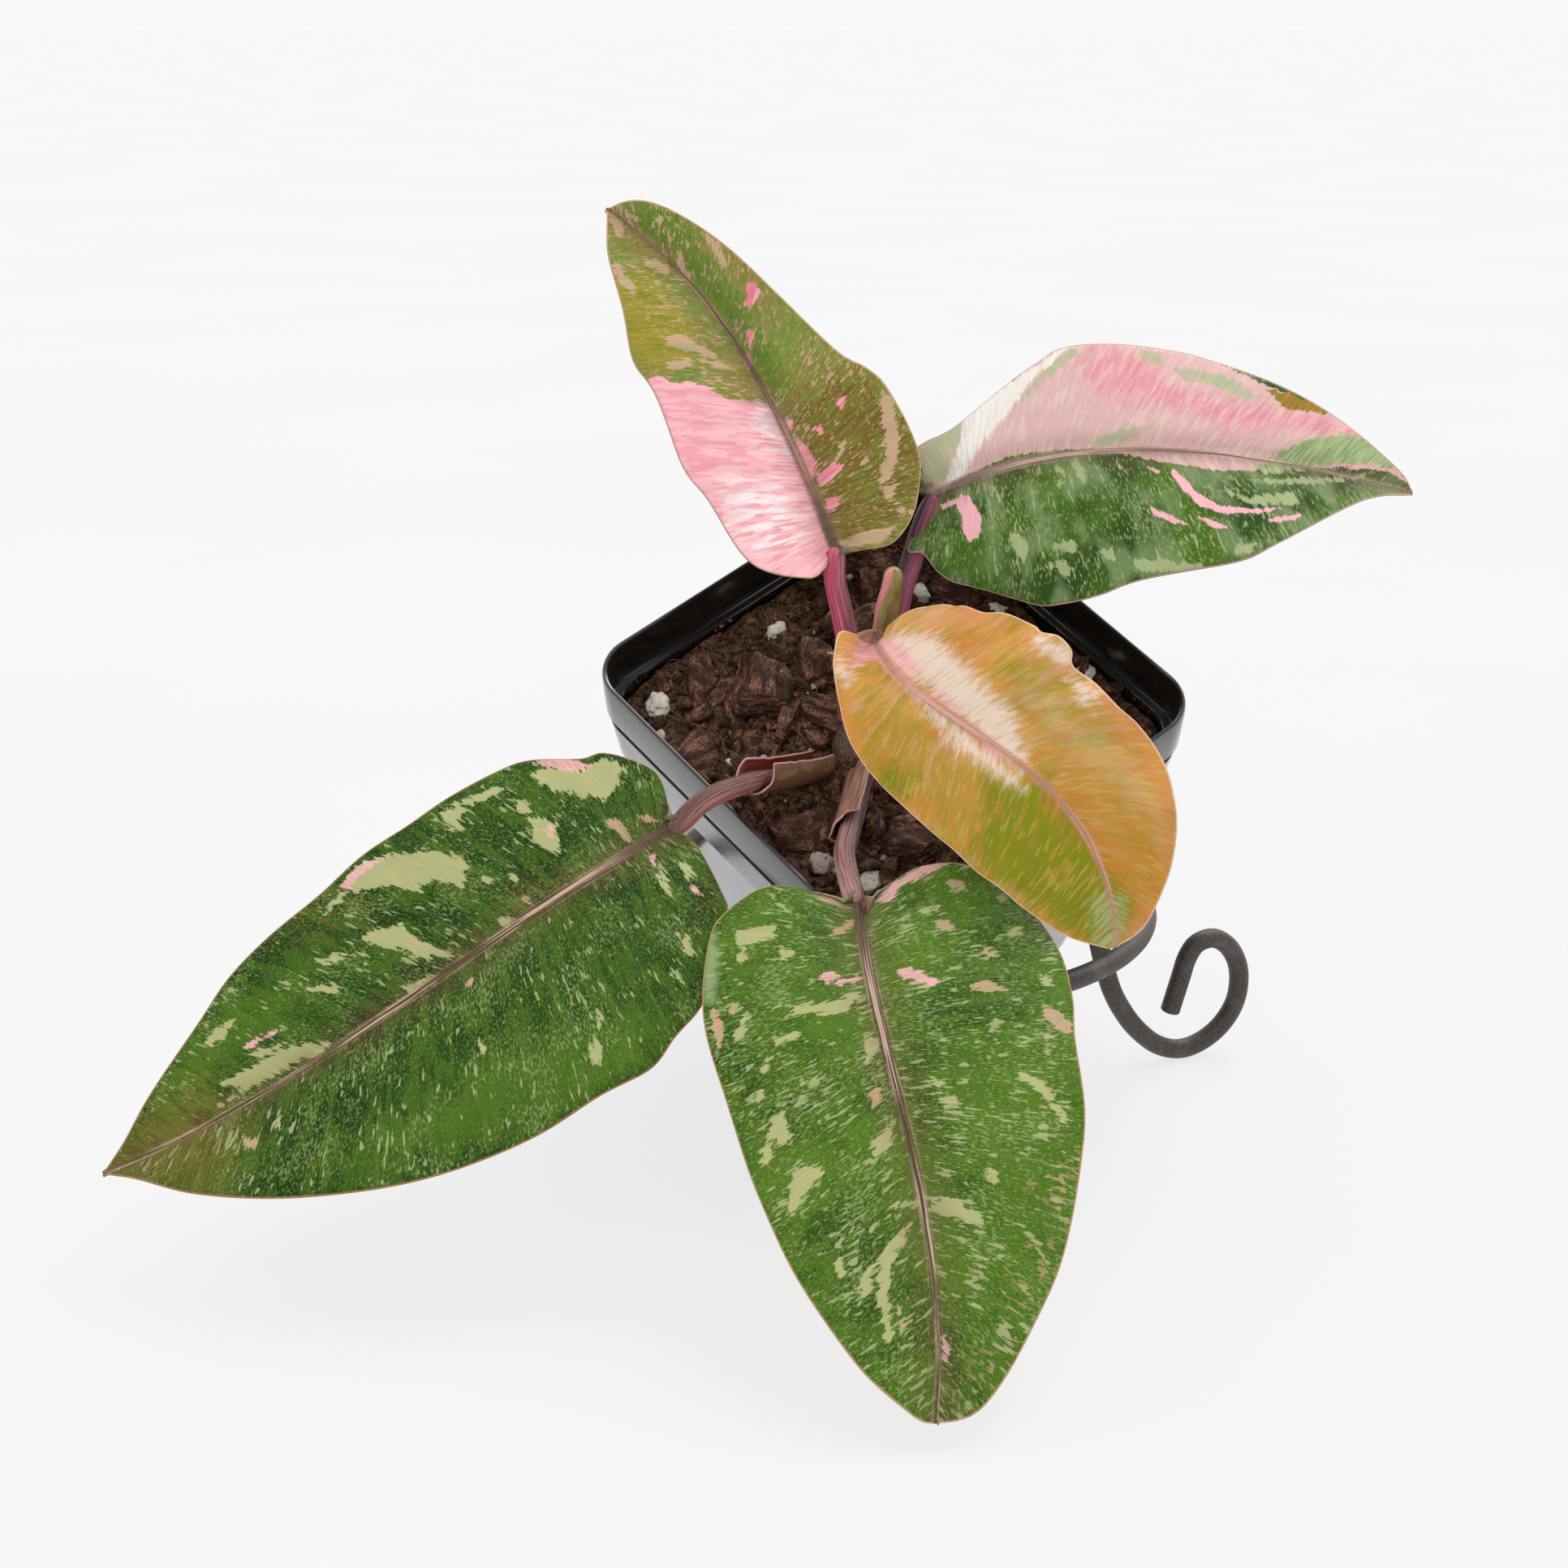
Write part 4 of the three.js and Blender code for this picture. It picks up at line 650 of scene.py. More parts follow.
def grain(points, size, seed=0):
    """Smooth relief from -1 to 1 whose bumps are size wide, the same each time."""
    spot = np.asarray(points, float) / size + 17.3 * seed
    cell = np.floor(spot).astype(np.int64)
    part = spot - cell
    part = part * part * (3 - 2 * part)
    total = np.zeros(spot.shape[:-1])
    for corner in product((0, 1), repeat=spot.shape[-1]):
        key = np.zeros(spot.shape[:-1], np.int64)
        weight = np.ones(spot.shape[:-1])
        for axis, prime in zip(range(spot.shape[-1]), (73856093, 19349663, 83492791)):
            key ^= (cell[..., axis] + corner[axis]) * prime
            weight *= part[..., axis] if corner[axis] else 1 - part[..., axis]
        key = ((key ^ (key >> 13)) * 1274126177) & 0x7FFFFFFF
        key = ((key ^ (key >> 15)) * 668265263) & 0x7FFFFFFF
        total += weight * (key / 0x7FFFFFFF * 2 - 1)
    return total


def ease(value, low, high):
    """From 0 to 1, softly, as a value goes from low to high."""
    part = np.clip((np.asarray(value, float) - low) / (high - low), 0, 1)
    return part * part * (3 - 2 * part)


# Meshes
def grid_faces(rows, columns, start=0, wrap=False, flip=False):
    """Quads over rows of points, joined round where the rows are rings."""
    spans = columns if wrap else columns - 1
    i, j = np.meshgrid(np.arange(rows - 1), np.arange(spans), indexing="ij")
    after = (j + 1) % columns
    quads = np.stack(
        [i * columns + j, i * columns + after, (i + 1) * columns + after, (i + 1) * columns + j],
        axis=-1,
    ).reshape(-1, 4)
    if flip:
        quads = quads[:, ::-1]
    return (quads + start).tolist()


def capped_rings(count, sides):
    """Faces over rings of points, with a flat face on the first and on the last ring."""
    first = list(range(sides))
    return grid_faces(count, sides, wrap=True) + [first, [count * sides - 1 - j for j in first]]


def rim_faces(rows, columns, start):
    """Walls that close the rim between a top grid and the one below it."""
    last = (rows - 1) * columns
    pairs = [(j, j + 1) for j in range(columns - 1)]
    pairs += [(last + j + 1, last + j) for j in range(columns - 1)]
    pairs += [((i + 1) * columns, i * columns) for i in range(rows - 1)]
    pairs += [((i + 1) * columns - 1, (i + 2) * columns - 1) for i in range(rows - 1)]
    return [[a, start + a, start + b, b] for a, b in pairs]


def thin_shell(rows, columns):
    """Faces of a grid of points and of the one below it, closed at the rim."""
    start = rows * columns
    top, below = grid_faces(rows, columns), grid_faces(rows, columns, start, flip=True)
    return top + below + rim_faces(rows, columns, start)


def piece(name, points, faces, skin, replaced, marks=None):
    """Puts a mesh of points in millimetres on the frame, with values kept on its points."""
    mesh = bpy.data.meshes.new(name)
    places = np.asarray(points, float) / 1000 + ORIGIN
    mesh.from_pydata(places.tolist(), [], faces)
    for mark, values in (marks or {}).items():
        values = np.asarray(values, np.float32)
        if values.ndim == 1:
            mesh.attributes.new(mark, "FLOAT", "POINT").data.foreach_set("value", values)
        else:
            kept = mesh.attributes.new(mark, "FLOAT_VECTOR", "POINT")
            kept.data.foreach_set("vector", values.ravel())
    mesh.materials.append(skin)
    turn_out(mesh)
    mesh.shade_smooth()
    made = bpy.data.objects.new(name, mesh)
    bpy.context.scene.collection.objects.link(made)
    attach(made, "root")
    if replaced:
        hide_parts(*replaced)
    return made


def turn_out(mesh):
    """Turns the faces of every closed shell outwards."""
    shell = bmesh.new()
    shell.from_mesh(mesh)
    bmesh.ops.recalc_face_normals(shell, faces=shell.faces)
    shell.to_mesh(mesh)
    shell.free()


def scatter(name, parts, skin):
    """Joins loose bits that lie in the pot, each (points, faces, marks), into one piece."""
    points, faces, marks, start = [], [], {}, 0
    for part_points, part_faces, part_marks in parts:
        points.append(part_points)
        faces += [[corner + start for corner in face] for face in part_faces]
        for mark, values in part_marks.items():
            marks.setdefault(mark, []).append(values)
        start += len(part_points)
    marks = {mark: np.concatenate(kept) for mark, kept in marks.items()}
    piece(name, from_pot(np.vstack(points)), faces, skin, [], marks)


def carried_frames(line, shares):
    """Two directions square to a line at each share, carried along without twist."""
    headings = line.heading(shares)
    side = np.array([0.3, -1, 0.2])
    sides = []
    for heading in headings:
        side = side - heading * side.dot(heading)
        side /= np.linalg.norm(side)
        sides.append(side)
    sides = np.array(sides)
    return sides, np.cross(headings, sides)


def tube(line, radii, sides, step, start_dome=0, end_dome=0, shape=None):
    """A round rod along a line. A dome closes an end and reaches that share of the radius
    beyond it. Shape gives each ring's own reach by angle, in place of a circle."""
    count = max(int(line.length / step), 4)
    shares = np.linspace(0, 1, count + 1)
    widths = np.interp(shares, np.linspace(0, 1, len(radii)), radii)
    side, other = carried_frames(line, shares)
    heading, centre = line.heading(shares), line.at(shares)
    rows = list(zip(centre, side, other, widths, shares))

    def dome(end, reach):
        """Rings that shrink beyond one end, the widest first."""
        return [
            (centre[end] + heading[end] * widths[end] * reach * lift, side[end], other[end],
             widths[end] * math.sqrt(max(1 - lift * lift, 1e-4)), shares[end])
            for lift in np.sin(np.linspace(0, math.pi / 2, 6))[1:]
        ]

    if start_dome:
        rows = dome(0, -start_dome)[::-1] + rows
    if end_dome:
        rows += dome(-1, end_dome)
    angles = np.linspace(0, 2 * math.pi, sides, endpoint=False)
    points, place = [], []
    for middle, a, b, size, share in rows:
        reach = size if shape is None else size * shape(angles, share)
        ring = middle + np.outer(np.cos(angles) * reach, a) + np.outer(np.sin(angles) * reach, b)
        points.append(ring)
        across = np.stack([np.cos(angles) * size, np.sin(angles) * size], axis=-1)
        place.append(np.column_stack([across, np.full(sides, share * line.length)]))
    return np.vstack(points), capped_rings(len(rows), sides), {"rod_place": np.vstack(place)}


def from_pot(points):
    """Points in the pot's own frame, turned and carried into the maker's frame."""
    axis = np.array([-math.sin(POT_LEANS_TOWARDS), math.cos(POT_LEANS_TOWARDS), 0])
    x, y, z = axis
    cross = np.array([[0, -z, y], [z, 0, -x], [-y, x, 0]])
    tilt = np.eye(3) + math.sin(POT_TILT) * cross + (1 - math.cos(POT_TILT)) * cross @ cross
    c, s = math.cos(POT_TURN), math.sin(POT_TURN)
    spin = np.array([[c, -s, 0], [s, c, 0], [0, 0, 1]])
    return np.asarray(points, float) @ (tilt @ spin).T + RIM_CENTRE


def rounded_square(half, corner, height, steps=14):
    """A level ring of points round a square with round corners."""
    ring = []
    for quarter, (x, y) in enumerate(((1, 1), (-1, 1), (-1, -1), (1, -1))):
        for step in range(steps + 1):
            angle = (quarter + step / steps) * math.pi / 2
            ring.append(
                (x * (half - corner) + corner * math.cos(angle),
                 y * (half - corner) + corner * math.sin(angle), height)
            )
    return np.array(ring)


def soil_height(x, y):
    """Height of the bumpy top of the mix, in the pot's frame."""
    broad = np.sin(0.21 * x + 1.3) * np.cos(0.17 * y - 0.4)
    middle = np.sin(0.47 * x - 0.33 * y + 0.8)
    fine = np.sin(0.9 * x + 0.4 * y) * np.sin(0.7 * y - 0.5 * x + 2)
    return 0.9 * broad + 0.45 * middle + 0.45 * fine - SOIL_DEPTH


def ball(level):
    """Directions and faces of an even ball."""
    shell = bmesh.new()
    bmesh.ops.create_icosphere(shell, subdivisions=level, radius=1)
    points = np.array([vertex.co[:] for vertex in shell.verts])
    faces = [[vertex.index for vertex in face.verts] for face in shell.faces]
    shell.free()
    return unit(points), faces


BALLS = {level: ball(level) for level in (1, 2, 3, 5)}


def turned(points, angle):
    """Points turned about the upright axis."""
    c, s = math.cos(angle), math.sin(angle)
    return points @ np.array([[c, s, 0], [-s, c, 0], [0, 0, 1]])


# Materials
SHADER = "Principled BSDF"
SMOOTHLY = {"interpolation_type": "SMOOTHSTEP"}


def linear(hex_colour):
    """A linear colour from an sRGB hex value."""
    channels = [int(hex_colour[i : i + 2], 16) / 255 for i in (1, 3, 5)]
    return tuple(c / 12.92 if c <= 0.04045 else ((c + 0.055) / 1.055) ** 2.4 for c in channels)


def add(tree, kind, inputs, output=0, **settings):
    """Adds a node with its settings and inputs, which are values or sockets to link from, and
    hands back one of its outputs."""
    made = tree.nodes.new("ShaderNode" + kind)
    for key, value in settings.items():
        setattr(made, key, value)
    for key, value in inputs.items():
        socket = made.inputs[key]
        if isinstance(value, bpy.types.NodeSocket):
            tree.links.new(value, socket)
        else:
            socket.default_value = (*value, 1) if socket.type == "RGBA" else value
    return made.outputs[output]


def new_skin(name, **shader):
    """A material with one principled shader, whose even values are set on it."""
    skin = bpy.data.materials.new(name)
    skin.use_nodes = True
    surface = skin.node_tree.nodes[SHADER]
    for key, value in shader.items():
        surface.inputs[key.replace("_", " ")].default_value = value
    return skin, skin.node_tree


def dress(tree, base, height=None, depth=0, rough=None):
    """Gives a skin its colour, bumps that stand depth millimetres high, and its roughness."""
    surface = tree.nodes[SHADER]
    tree.links.new(base, surface.inputs["Base Color"])
    if height is not None:
        bump = add(tree, "Bump", {"Height": height, "Distance": depth / 1000, "Strength": 1.0})
        tree.links.new(bump, surface.inputs["Normal"])
    if rough is not None:
        tree.links.new(rough, surface.inputs["Roughness"])


def mottle(tree, place, widths, seed, detail=3, roughness=0.55):
    """Soft noise from 0 to 1 on a place in millimetres, with its own width each way."""
    scale, shift = tuple(1 / width for width in widths), (seed * 7.1, seed * 3.7, seed)
    spot = add(tree, "VectorMath", {0: place, 1: scale, 2: shift}, operation="MULTIPLY_ADD")
    inputs = {"Vector": spot, "Scale": 1.0, "Detail": detail, "Roughness": roughness}
    return add(tree, "TexNoise", inputs)


def laid(tree, under, top, value, low, high, share=1.0):
    """Lays the top colour over the one under it, by a share that rises as a value goes from
    low to high."""
    amount = add(tree, "MapRange", {0: value, 1: low, 2: high, 4: share}, **SMOOTHLY)
    return add(tree, "Mix", {0: amount, 6: under, 7: top}, 2, data_type="RGBA")


def laid_by_mark(tree, under, top, mark):
    """Lays the top colour over the one under it, by a value kept on the points."""
    share = add(tree, "Attribute", {}, "Fac", attribute_name=mark)
    return add(tree, "Mix", {0: share, 6: under, 7: top}, 2, data_type="RGBA")


def millimetres(tree):
    """The object's own place in millimetres, which moves with it."""
    place = add(tree, "TexCoord", {}, "Object")
    return add(tree, "VectorMath", {0: place, 3: 1000.0}, operation="SCALE")


# Sizes and colours that a user may change
def size_in_mm(name, description, default, low, high):
    description += ", in millimetres"
    return bpy.props.FloatProperty(
        name=name, description=description, default=default, min=low, max=high
    )


def count_of(name, description, default, most):
    return bpy.props.IntProperty(
        name=name, description=description, default=default, min=0, max=most
    )


class PlantSizes(bpy.types.PropertyGroup):
    blade_thickness: size_in_mm("Blade thickness", "Thickness of a leaf's blade", 0.6, 0.2, 0.9)
    vein_height: size_in_mm("Vein height", "How far side veins stand out", 0.09, 0, 0.5)
    midrib_height: size_in_mm("Midrib height", "How far the midrib stands out", 0.7, 0, 2)
    soil_relief: size_in_mm("Mix relief", "Height of the mix's crumbly relief", 1.0, 0, 2)
    wire: size_in_mm("Wire", "Diameter of the stand's wire", WIRE, 4, 5.2)
    crumbs: count_of("Crumbs", "Loose crumbs that lie on the mix", 1500, 3000)
    bark_bits: count_of("Bark bits", "Small bark chips that lie on the mix", 330, 400)
    fibres: count_of("Fibres", "Loose coir fibres that lie on the mix", 420, 1000)


def colour(name, description, hex_colour):
    return bpy.props.FloatVectorProperty(
        name=name, description=description, subtype="COLOR", size=3, min=0, max=1,
        default=linear(hex_colour),
    )


class PlantColours(bpy.types.PropertyGroup):
    pot_black: colour("Pot black", "Moulded black plastic", "#101112")
    iron: colour("Iron", "Powder-coated wire", "#3A322F")
    soil: colour("Soil", "Damp peat and coir", "#20140E")
    soil_light: colour("Soil light", "Drier peat and coir", "#82604A")
    fibre: colour("Fibre", "Coir fibre", "#7A5A40")
    bark: colour("Bark", "Damp pine bark", "#3C261D")
    # Bark light is the tone of fresh breaks. On the raised bark layers it is also a painted
    # highlight
    bark_light: colour("Bark light", "Freshly broken pine bark", "#B8846A")
    perlite: colour("Perlite", "Expanded white perlite", "#F3EDE3")
    perlite_shade: colour("Perlite shade", "Soiled hollows of a perlite grain", "#C4AF97")
    crown: colour("Crown", "Stem at the level of the mix", "#4E3E2C")
    stalk_dark: colour("Stalk dark", "Dark side of a leaf stalk", "#5B3C42")
    sheath_in: colour("Sheath inside", "Red inside of a leaf sheath", "#662820")
    sheath_edge: colour("Sheath edge", "Pale free edge of a leaf sheath", "#DDB0A2")
    young: colour("Young leaf", "The rolled young leaf", "#857440")
    green: colour("Leaf green", "Green of a leaf", "#2D4D17")
    deep: colour("Leaf deep green", "Deepest green of a leaf", "#17350F")
    fresh: colour("Leaf fresh green", "Brightest green of a leaf", "#6A8A2C")
    lime: colour("Leaf lime", "Yellow-green of a young leaf", "#82880B")
    olive: colour("Leaf olive", "Olive of a leaf", "#807C2C")
    brown: colour("Leaf brown", "Red-brown flush of a leaf", "#704C22")
    ochre: colour("Leaf ochre", "Ochre of a young leaf", "#DB9E54")
    amber: colour("Leaf amber", "Deeper ochre of a young leaf", "#D07E34")
    moss: colour("Leaf moss", "Mid green of a leaf", "#4E731B")
    # Sage is also the tone of the painted sheen on leaf B and of the painted highlight on leaf E's
    # edge
    sage: colour("Leaf sage", "Grey-green of a variegated patch", "#A9BC8C")
    gold: colour("Leaf gold", "Olive gold of a young leaf", "#AD933A")
    straw: colour("Leaf straw", "Straw yellow of a young leaf", "#D2B764")
    blush: colour("Leaf blush", "Grey-pink of a variegated half", "#D9B5AE")
    beige: colour("Leaf beige", "Pale green of a variegated patch", "#ABB17F")
    speckle: colour("Leaf speckle", "Pale speckle of a leaf", "#96A268")
    salmon: colour("Leaf salmon", "Salmon of a variegated patch", "#D6A48C")
    rose: colour("Leaf rose", "Deep pink of a variegated patch", "#E47F8F")
    pink: colour("Leaf pink", "Pink of a variegated patch", "#F5B9C0")
    cream: colour("Leaf cream", "Cream of a variegated patch", "#EEDCCB")
    white: colour("Leaf white", "White of a variegated patch", "#F4F2EE")
    flush: colour("Leaf flush", "Brown-mauve flush beside the midrib", "#6E4A36")
    midrib: colour("Midrib", "Mauve-brown midrib", "#8E6A5C")
    under: colour("Underside", "Underside of a leaf", "#93A077")
    under_red: colour("Underside flush", "Red flush of a leaf's underside", "#94735F")
    floor: colour("Floor", "Pale floor", "#676767")


def sizes():
    """The sizes that the user has set."""
    return bpy.context.scene.plant_sizes


def tint(name):
    """One of the colours that the user has set."""
    return tuple(getattr(bpy.context.scene.plant_colours, name))


# Pot
def polypropylene():
    # Thin black polypropylene, drawn into a satin mould: dark inside, and silvery wherever it
    # mirrors the pale table at a flat angle. Fine mould grain and dust break the mirror.
    skin, tree = new_skin(
        "black_polypropylene_moulded", IOR=1.5, Coat_Weight=1, Coat_Roughness=0.16
    )
    place = millimetres(tree)
    dust = mottle(tree, place, (7, 7, 7), 1, 4)
    dusty = add(tree, "MapRange", {0: dust, 1: 0.45, 2: 0.75, 4: 0.35}, **SMOOTHLY)
    specks = mottle(tree, place, (0.7, 0.7, 0.7), 2, 2)
    base = laid(tree, tint("pot_black"), linear("#6A5B50"), specks, 0.66, 0.74, dusty)
    rough = add(tree, "MapRange", {0: dust, 1: 0.3, 2: 0.8, 3: 0.24, 4: 0.38}, **SMOOTHLY)
    dress(tree, base, mottle(tree, place, (0.6, 0.6, 0.6), 3, 2), 0.003, rough)
    return skin


def build_pot():
    rings = [rounded_square(half, corner, height) for half, corner, height in POT_RINGS]
    points, faces = np.vstack(rings), capped_rings(len(rings), len(rings[0]))
    made = piece(
        "moulded_pot", from_pot(points), faces, polypropylene(), ["nursery_pot"],
    )
    floor_middle = (POT_RINGS[0][2] + POT_RINGS[-1][2]) / 2
    drains = bmesh.new()
    for x, y in product((-DRAIN_OFFSET, DRAIN_OFFSET), repeat=2):
        bmesh.ops.create_cone(
            drains, cap_ends=True, segments=32, radius1=DRAIN_RADIUS, radius2=DRAIN_RADIUS,
            depth=DRILL_DEPTH, matrix=Matrix.Translation((x, y, floor_middle)),
        )
    drill_mesh = bpy.data.meshes.new("drills")
    drains.to_mesh(drill_mesh)
    drains.free()
    spots = np.array([vertex.co[:] for vertex in drill_mesh.vertices])
    drill_mesh.vertices.foreach_set("co", (from_pot(spots) / 1000 + ORIGIN).ravel())
    drills = bpy.data.objects.new("drills", drill_mesh)
    bpy.context.scene.collection.objects.link(drills)
    cut = made.modifiers.new("drains", "BOOLEAN")
    cut.object, cut.operation, cut.solver = drills, "DIFFERENCE", "EXACT"
    bpy.context.view_layer.update()
    drilled = made.evaluated_get(bpy.context.evaluated_depsgraph_get())
    made.data = bpy.data.meshes.new_from_object(drilled)
    made.modifiers.clear()
    bpy.data.objects.remove(drills)
    made.data.shade_smooth()
    made.data.set_sharp_from_angle(angle=POT_SHARP)


# Potting mix
def peat(name):
    # Damp peat and chopped coir: matt, nearly black in the hollows and brown on dry crumbs,
    # with short pale fibres. The grain is a crumb about a millimetre wide.
    skin, tree = new_skin(name, Roughness=0.85, Specular_IOR_Level=0.12)
    place = millimetres(tree)
    crumbs = mottle(tree, place, (1.6, 1.6, 1.6), 1, 5, 0.7)
    threads = mottle(tree, place, (0.35, 2.6, 0.8), 2, 2)
    base = laid(tree, tint("soil"), tint("soil_light"), crumbs, 0.35, 0.7)
    base = laid(tree, base, tint("fibre"), threads, 0.6, 0.7, 0.5)
    base = laid_by_mark(tree, base, tint("bark_light"), "crumb_shade")
    dress(tree, base, crumbs, 0.5)
    return skin


def build_mix():
    """The block of mix, whose top is a fine grid with crumbly relief."""
    # The grid of a square is pulled in so that its corners are round
    share = np.linspace(-1, 1, SOIL_GRID)
    u, v = np.meshgrid(share, share, indexing="ij")
    reach = np.maximum(np.abs(u), np.abs(v)) + 1e-9
    x, y = u / reach, v / reach
    corner = SOIL_CORNER / SOIL_HALF
    ax, ay = np.abs(x), np.abs(y)
    # The ray to a rounded square's edge, as a share of the ray to the sharp one's
    inner = 1 - corner
    square, half, rest = ax**2 + ay**2, (ax + ay) * inner, 2 * inner**2 - corner**2
    rounded = (half + np.sqrt(np.maximum(half**2 - square * rest, 0))) / square
    reach *= np.where(np.minimum(ax, ay) < inner, 1, rounded)
    x, y = x * reach * SOIL_HALF, y * reach * SOIL_HALF
    place = np.stack([x, y, np.zeros_like(x)], axis=-1)
    rough = 1.1 * grain(place, 7, 1) + 0.9 * np.abs(grain(place, 3.2, 2))
    rough += 0.55 * grain(place, 1.6, 3) + 0.3 * grain(place, 0.8, 4)
    stretched = place * np.array([0.35, 1, 1])
    rough += 0.5 * np.abs(grain(turned(stretched, 0.6), 0.9, 5))
    z = soil_height(x, y) + sizes().soil_relief * rough * 0.8
    top = np.stack([x, y, z], axis=-1).reshape(-1, 3)
    faces = grid_faces(SOIL_GRID, SOIL_GRID)
    # The block's sides hang from the top's outermost points, in order round it
    index = np.arange(SOIL_GRID**2).reshape(SOIL_GRID, SOIL_GRID)
    order = [*index[0], *index[1:, -1], *index[-1, -2::-1], *index[-2:0:-1, 0]]
    around = len(order)
    walls, rows = [top], [[int(corner) for corner in order]]
    for number, (height, half) in enumerate(SOIL_LEVELS):
        level = top[order] * (half / SOIL_HALF)
        level[:, 2] = height
        walls.append(level)
        start = len(top) + number * around
        rows.append(range(start, start + around))
    for upper, lower in zip(rows, rows[1:]):
        for j in range(around):
            after = (j + 1) % around
            faces.append([upper[j], upper[after], lower[after], lower[j]])
    faces.append(list(rows[-1]))
    points = np.vstack(walls)
    marks, skin = {"crumb_shade": np.zeros(len(points))}, peat("damp_peat_and_coir")
    piece("peat_and_coir", from_pot(points), faces, skin, ["potting_mix"], marks)


def lies_free(x, y, cut):
    """False where the stem stands, and in the corners of the pot that the cut leaves out."""
    near_stem = np.hypot(x - CROWN_PLACE[0], y - CROWN_PLACE[1]) <= STEM_CLEAR
    return not near_stem and abs(x) + abs(y) <= cut


def build_crumbs():
    """Crumbs of peat, 0.5 to 2 mm wide and most of them small, that lie on the mix."""
    draw = np.random.default_rng(11)
    parts = []
    for number in range(sizes().crumbs):
        x, y = draw.uniform(-46.5, 46.5, 2)
        size = 0.45 + 1.5 * draw.random() ** 3
        spin, _, shade = draw.random(3)
        if not lies_free(x, y, 88):
            continue
        directions, faces = BALLS[2 if size > 1.1 else 1]
        stretch = np.array([1.25, 0.9, 0.7]) * (1 + 0.5 * (draw.random(3) - 0.5))
        lump = directions * stretch * size * 0.5
        lump *= (1 + 0.45 * grain(directions, 0.7, number))[:, None]
        height = soil_height(x, y) + 0.5 + 0.35 * size
        lump = turned(lump, spin * FULL_TURN) + np.array([x, y, height])
        parts.append((lump, faces, {"crumb_shade": np.full(len(lump), 0.5 * shade**2)}))
    scatter("loose_crumbs", parts, peat("loose_peat_crumbs"))


def build_ledge_crumbs():
    """Crumbs spilled on the ledge inside the rim, most of them in its corners."""
    draw = np.random.default_rng(23)
    parts = []
    for number in range(LEDGE_CRUMBS):
        along = draw.uniform(-46, 46)
        corner = draw.random() < 0.62
        if corner:
            along = math.copysign(46 - abs(draw.normal(0, 6)), along)
        side = int(draw.integers(0, 4))
        size = 0.35 + 1.0 * draw.random() ** 3
        depth, out = (-12.2, 48.6) if draw.random() < 0.5 else (-13.2, 47.5)
        x, y = ((along, out), (-out, along), (along, -out), (out, along))[side]
        directions, faces = BALLS[1]
        lump = directions * np.array([1.2, 0.9, 0.7]) * size * 0.5
        lump *= (1 + 0.4 * grain(directions, 0.7, number + 900))[:, None]
        lump = turned(lump, draw.random() * FULL_TURN) + np.array([x, y, depth + 0.3 * size])
        # The ledge's own corners are round, so nothing lies beyond them
        if math.hypot(max(abs(x) - 38.5, 0), max(abs(y) - 38.5, 0)) > 10.1:
            continue
        parts.append((lump, faces, {"crumb_shade": np.full(len(lump), 0.7 * draw.random())}))
    scatter("ledge_crumbs", parts, peat("spilled_peat_crumbs"))


def coir():
    # A coconut fibre: dull gold-brown, dry and matt.
    skin, tree = new_skin("coir_fibre_dry", Roughness=0.8, Specular_IOR_Level=0.3)
    dress(tree, laid_by_mark(tree, tint("soil_light"), tint("fibre"), "crumb_shade"))
    return skin


def build_fibres():
    """Curled coir fibres, 2.5 to 9 mm long, that lie on the mix."""
    draw = np.random.default_rng(5)
    parts = []
    for _ in range(sizes().fibres):
        x, y = draw.uniform(-45, 45, 2)
        heading, length = draw.uniform(0, FULL_TURN), draw.uniform(2.5, 9)
        curl = draw.uniform(-0.25, 0.25, 4)
        shade, lift = draw.random(), draw.random()
        if not lies_free(x, y, 82):
            continue
        path = []
        for step in range(5):
            heading += curl[step - 1] * 1.2
            px, py = np.clip((x, y), -46.5, 46.5)
            rise = 0.9 + 1.6 * lift * math.sin(math.pi * step / 4)
            path.append((px, py, soil_height(px, py) + rise))
            x += math.cos(heading) * length / 4
            y += math.sin(heading) * length / 4
        radius = 0.07 + 0.09 * shade
        rod, faces, _ = tube(bend(path, 3), [radius * 1.2, radius, radius * 0.6], 5, length / 7)
        parts.append((rod, faces, {"crumb_shade": np.full(len(rod), shade)}))
    scatter("coir_fibres", parts, coir())


# Bark
def pine_bark():
    # Damp pine bark, broken by a mill: dull red-brown layers, near black on the old faces,
    # with thin lighter lines where the layers end. The same noises that raise the layers also
    # lighten their tops and leave the pores near black: painted light and shade over the bark's
    # own tones. A layer is about 0.8 mm.
    skin, tree = new_skin("pine_bark_chipped", Roughness=0.7, Specular_IOR_Level=0.2)
    place = add(tree, "Attribute", {}, "Vector", attribute_name="chip_place")
    layers = mottle(tree, place, (7, 7, 0.7), 1, 4, 0.65)
    pores = mottle(tree, place, (0.9, 0.5, 0.5), 2, 4, 0.7)
    broad = mottle(tree, place, (6, 6, 5), 3, 2)
    share = add(tree, "MapRange", {0: broad, 1: 0.3, 2: 0.7, 3: 0.35}, **SMOOTHLY)
    share = add(tree, "MapRange", {0: pores, 1: 0.36, 2: 0.6, 4: share}, **SMOOTHLY)
    # Raised layers lighter and low pores dark: painted light and shade, over the bark's real
    # lighter breaks
    base = laid(tree, tint("bark"), tint("bark_light"), layers, 0.42, 0.62, share)
    dress(tree, base, add(tree, "Math", {0: layers, 1: pores}), 0.35)
    return skin


